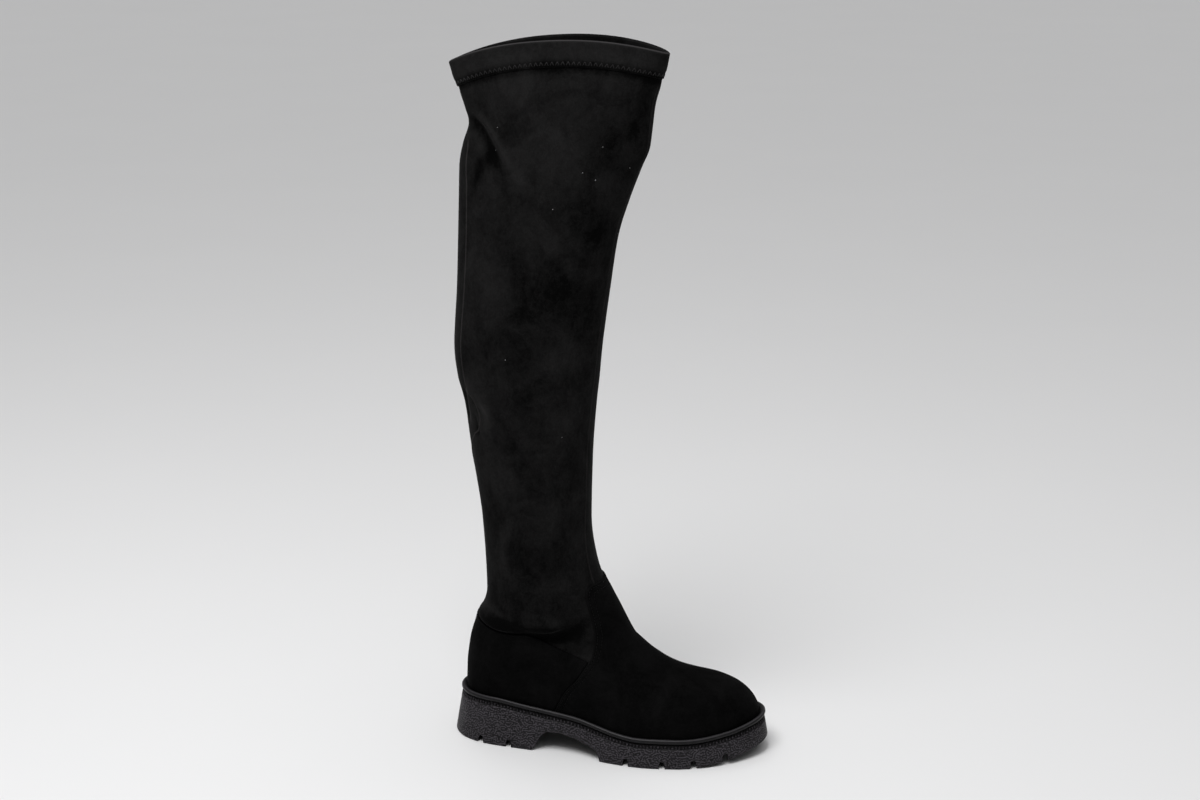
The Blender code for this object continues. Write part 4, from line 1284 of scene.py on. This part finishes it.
def bead_rubber():
    """Smooth satin rubber, a little scuffed, with a painted highlight along its edge."""
    material, tree, shader, place = new_material("bead_rubber")
    scuffs = noise(tree, place, 180.0, 6.0, 0.65, 0.5)
    fine = noise(tree, place, 1200.0, 3.0, 0.6)
    tone = mixed(tree, 0.25, point_tone(tree), ramp(tree, scuffs, ((0.35, 0.0), (0.75, 1.0))))
    finished(tree, shader, mixed(tree, tone, (0.0030, 0.0028, 0.0032), (0.034, 0.032, 0.035)),
             ramp(tree, scuffs, ((0.3, 0.34), (0.75, 0.48))), ((scuffs, 0.08, 0.0006), (fine, 0.10, 0.0002)),
             Specular_IOR_Level=0.18)
    return material


def sole_rubber(name, dark, light, gloss):
    """Moulded rubber: dark between the ridges of its grain, paler and a little worn on their crests."""
    material, tree, shader, place = new_material(name)
    grain = worms(tree, place)
    clouds = noise(tree, place, 60.0, 5.0)
    specks = noise(tree, place, 700.0, 2.0, 0.7)
    tone = ramp(tree, grain, ((0.47, 0.0), (0.59, 1.0)))
    tone = mixed(tree, 0.15, tone, ramp(tree, clouds, CLOUD_RAMP))
    tone = mixed(tree, 0.30, tone, ramp(tree, specks, ((0.56, 0.0), (0.68, 1.0))), "ADD")
    # The tone of the points darkens the colour: painted shade in the recess under the welt and between the
    # ribs
    tone = worked(tree, "MULTIPLY", tone, point_tone(tree))
    finished(tree, shader, mixed(tree, tone, dark, light), ramp(tree, clouds, ((0.3, 0.45), (0.7, 0.62))),
             ((grain, 0.5, 0.0006), (specks, 0.3, 0.0003)), Specular_IOR_Level=gloss)
    return material


def thread(name, dark, light):
    """Twisted polyester thread."""
    material, tree, shader, place = new_material(name)
    twist = noise(tree, place, 2600.0, 2.0, 0.6)
    finished(tree, shader, mixed(tree, ramp(tree, twist, ((0.35, 0.0), (0.7, 1.0))), dark, light),
             ramp(tree, twist, ((0.3, 0.45), (0.7, 0.65))), ((twist, 0.3, 0.0002),), Specular_IOR_Level=0.15)
    return material


def insole_board():
    """Matt textile-covered board."""
    material, tree, shader, place = new_material("insole_board")
    weave = noise(tree, place, 1300.0, 2.0, 0.6)
    clouds = noise(tree, place, 40.0, 5.0)
    tone = mixed(tree, 0.5, ramp(tree, clouds, CLOUD_RAMP), weave)
    finished(tree, shader, mixed(tree, tone, (0.012, 0.011, 0.011), (0.032, 0.030, 0.029)),
             ramp(tree, clouds, ((0.3, 0.95), (0.7, 0.85))), ((weave, 0.3, 0.0003),), Specular_IOR_Level=0.2)
    return material


SHARP_ANGLE = math.radians(50.0)


def make_piece(name, solid, material, node=None, tone=None):
    """A piece of the boot, from points in the frame of the last and the tone of each."""
    points, faces = solid
    mesh = bpy.data.meshes.new(name)
    mesh.from_pydata(((points - ORIGIN) * METRE).tolist(), [], faces)
    work = bmesh.new()
    work.from_mesh(mesh)
    bmesh.ops.recalc_face_normals(work, faces=work.faces)
    work.to_mesh(mesh)
    work.free()
    mesh.shade_smooth()
    mesh.set_sharp_from_angle(angle=SHARP_ANGLE)
    mesh.materials.append(material)
    if tone is not None:
        mesh.attributes.new("tone", "FLOAT", "POINT").data.foreach_set("value", tone)
    piece = bpy.data.objects.new(name, mesh)
    bpy.context.scene.collection.objects.link(piece)
    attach(piece, "root")
    if node:
        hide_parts(node)
    return piece


def second_material(piece, material, numbers):
    """Gives some faces of a piece their own material."""
    piece.data.materials.append(material)
    for number in numbers:
        piece.data.polygons[number].material_index = 1


def boot():
    face = upper_face()
    count = len(face.triangles)
    tree = BVHTree.FromPolygons(face.points.tolist(), face.triangles.tolist())
    stretch = suede("stretch_suede", (0.0014, 0.0014, 0.0014), (0.0134, 0.0132, 0.0132), 0.035, 0.8)
    panel = suede("panel_suede", (0.0008, 0.0008, 0.0008), (0.0048, 0.0047, 0.0048), 0.012, 1.0)
    # The seams' suede is lighter than the shaft's: a painted highlight along each seam's ridge
    back_seam_highlight = suede("back_seam_painted_highlight", (0.0110, 0.0104, 0.0104), (0.0280, 0.0266, 0.0266), 0.05, 1.0)
    front_seam_highlight = suede("front_seam_painted_highlight", (0.0050, 0.0047, 0.0047), (0.0175, 0.0166, 0.0166), 0.04, 1.0)
    dark_thread = thread("dark_thread", (0.0010, 0.0009, 0.0010), (0.0040, 0.0038, 0.0038))
    hem_thread = thread("hem_thread", (0.0070, 0.0066, 0.0068), (0.0210, 0.0200, 0.0204))
    pale_thread = thread("lint", (0.30, 0.30, 0.31), (0.55, 0.55, 0.56))
    rubber = sole_rubber("sole_rubber", (0.0034, 0.0031, 0.0036), (0.0520, 0.0473, 0.0541), 0.14)
    # The tread's darker rubber is painted shade under the sole, in its arch and its grooves
    tread = sole_rubber("sole_tread_painted_shade", (0.0016, 0.0015, 0.0017), (0.0050, 0.0047, 0.0052), 0.05)
    used = np.unique(face.triangles)
    tone = np.concatenate([tone_with_painted_light(face.points[used], face.spots[used]), np.zeros(len(used))])
    fabric = thicken(face, np.ones(count, bool), -WALL, 0.0)
    upper = make_piece("upper_fabric", fabric, stretch, "upper", tone)
    second_material(upper, lining_knit(), range(count, 2 * count))
    vamp, tone = panel_solid(face, in_vamp, VAMP_ROLL)
    make_piece("vamp_panel", vamp, panel, "vamp", tone)
    counter, tone = panel_solid(face, in_counter, COUNTER_ROLL)
    make_piece("counter_panel", counter, panel, "counter", tone)
    hem, tone = band_solid()
    make_piece("collar_hem", hem, stretch, "collar_band", tone)
    bead, tone = welt_solid(face)
    make_piece("welt_bead", bead, bead_rubber(), "welt", tone)
    body, tone, underside = outsole_solid()
    sole = make_piece("sole_body", body, rubber, "outsole", tone)
    second_material(sole, tread, underside)
    ribs, tone = ribs_solid()
    make_piece("sole_ribs", ribs, rubber, None, tone)
    make_piece("insole_sheet", insole_solid(), insole_board(), "insole")
    proud = GAP + PANEL * STITCH_SINK
    for number, inset in enumerate(VAMP_STITCHES):
        points, normals = level_line(face, in_vamp(face), inset)
        stitches = stitch_row(points + normals * proud, normals, TOP_STITCH)
        make_piece("vamp_stitches_%d" % (number + 1), stitches, dark_thread)
    make_piece("collar_zigzag", zigzag_solid(), hem_thread)
    make_piece("back_seam", seam_solid(tree, BACK_SEAM, 1.0), back_seam_highlight)
    make_piece("front_seam", seam_solid(tree, FRONT_SEAM, -1.0), front_seam_highlight)
    make_piece("lint", lint_solid(tree), pale_thread)


# The floor's half side, and soft lights with place and target, size and power, in metres and watts
FLOOR_HALF = 20.0
LAMPS = table(
    "name place target size power",
    ("key", (-0.30, -0.75, 1.8), (-0.1, -0.1, 0.1), 1.0, 21.0),
    ("back", (-2.6, 5.0, 13.0), (-2.6, 5.0, 0.0), 5.0, 110.0),
)

# Light of the sky: height of the direction, 0 at the horizon and 1 at the zenith, and brightness there
SKY = ((0.0, 0.45), (0.08, 0.45), (0.16, 0.05), (0.5, 0.05), (0.8, 0.60), (1.0, 1.0))
SKY_STRENGTH = 1.25

# The photograph's view: place in metres, tilt and turn in degrees, sensor and lens in millimetres
CAMERA_PLACE = (0.3045, -1.5540, 0.7888)
CAMERA_TILT = 73.269
CAMERA_TURN = 11.398
SENSOR = 36.0
LENS = 58.707
CLIP_END = 100.0


def pale_floor():
    material, tree, shader, place = new_material("pale_floor")
    tone = noise(tree, place, 3.0, 3.0)
    finished(tree, shader, mixed(tree, tone, (0.80, 0.80, 0.805), (0.82, 0.82, 0.825)), 0.7, (),
             Specular_IOR_Level=0.2)
    mesh = bpy.data.meshes.new("floor")
    corners = [(x * FLOOR_HALF, y * FLOOR_HALF, 0.0) for x, y in ((-1, -1), (1, -1), (1, 1), (-1, 1))]
    mesh.from_pydata(corners, [], [(0, 1, 2, 3)])
    mesh.materials.append(material)
    floor = bpy.data.objects.new("floor", mesh)
    bpy.context.scene.collection.objects.link(floor)


def area_light(name, place, target, size, power):
    light = bpy.data.lights.new(name, "AREA")
    light.shape = "DISK"
    light.size = size
    light.energy = power
    lamp = bpy.data.objects.new(name, light)
    lamp.location = place
    way = np.array(target) - np.array(place)
    flat = math.hypot(way[0], way[1])
    lamp.rotation_euler = (math.atan2(flat, -way[2]), 0.0, math.atan2(way[1], way[0]) - math.pi / 2.0)
    bpy.context.scene.collection.objects.link(lamp)


def studio():
    """Soft light from above, and the photograph's view."""
    scene = bpy.context.scene
    world = bpy.data.worlds.new("studio")
    world.use_nodes = True
    tree = world.node_tree
    way = tree.nodes.new("ShaderNodeTexCoord").outputs["Generated"]
    height = made_node(tree, "SeparateXYZ", Vector=way).outputs["Z"]
    sky = tree.nodes["Background"]
    plug(tree, sky.inputs["Color"], ramp(tree, height, SKY))
    plug(tree, sky.inputs["Strength"], SKY_STRENGTH)
    scene.world = world
    scene.view_settings.view_transform = "Standard"
    for lamp in LAMPS:
        area_light(*lamp)
    lens = bpy.data.cameras.new("camera")
    lens.sensor_fit = "HORIZONTAL"
    lens.sensor_width = SENSOR
    lens.lens = LENS
    lens.clip_end = CLIP_END
    camera = bpy.data.objects.new("camera", lens)
    camera.location = CAMERA_PLACE
    camera.rotation_euler = (math.radians(CAMERA_TILT), 0.0, math.radians(CAMERA_TURN))
    scene.collection.objects.link(camera)
    scene.camera = camera


boot()
pale_floor()
studio()
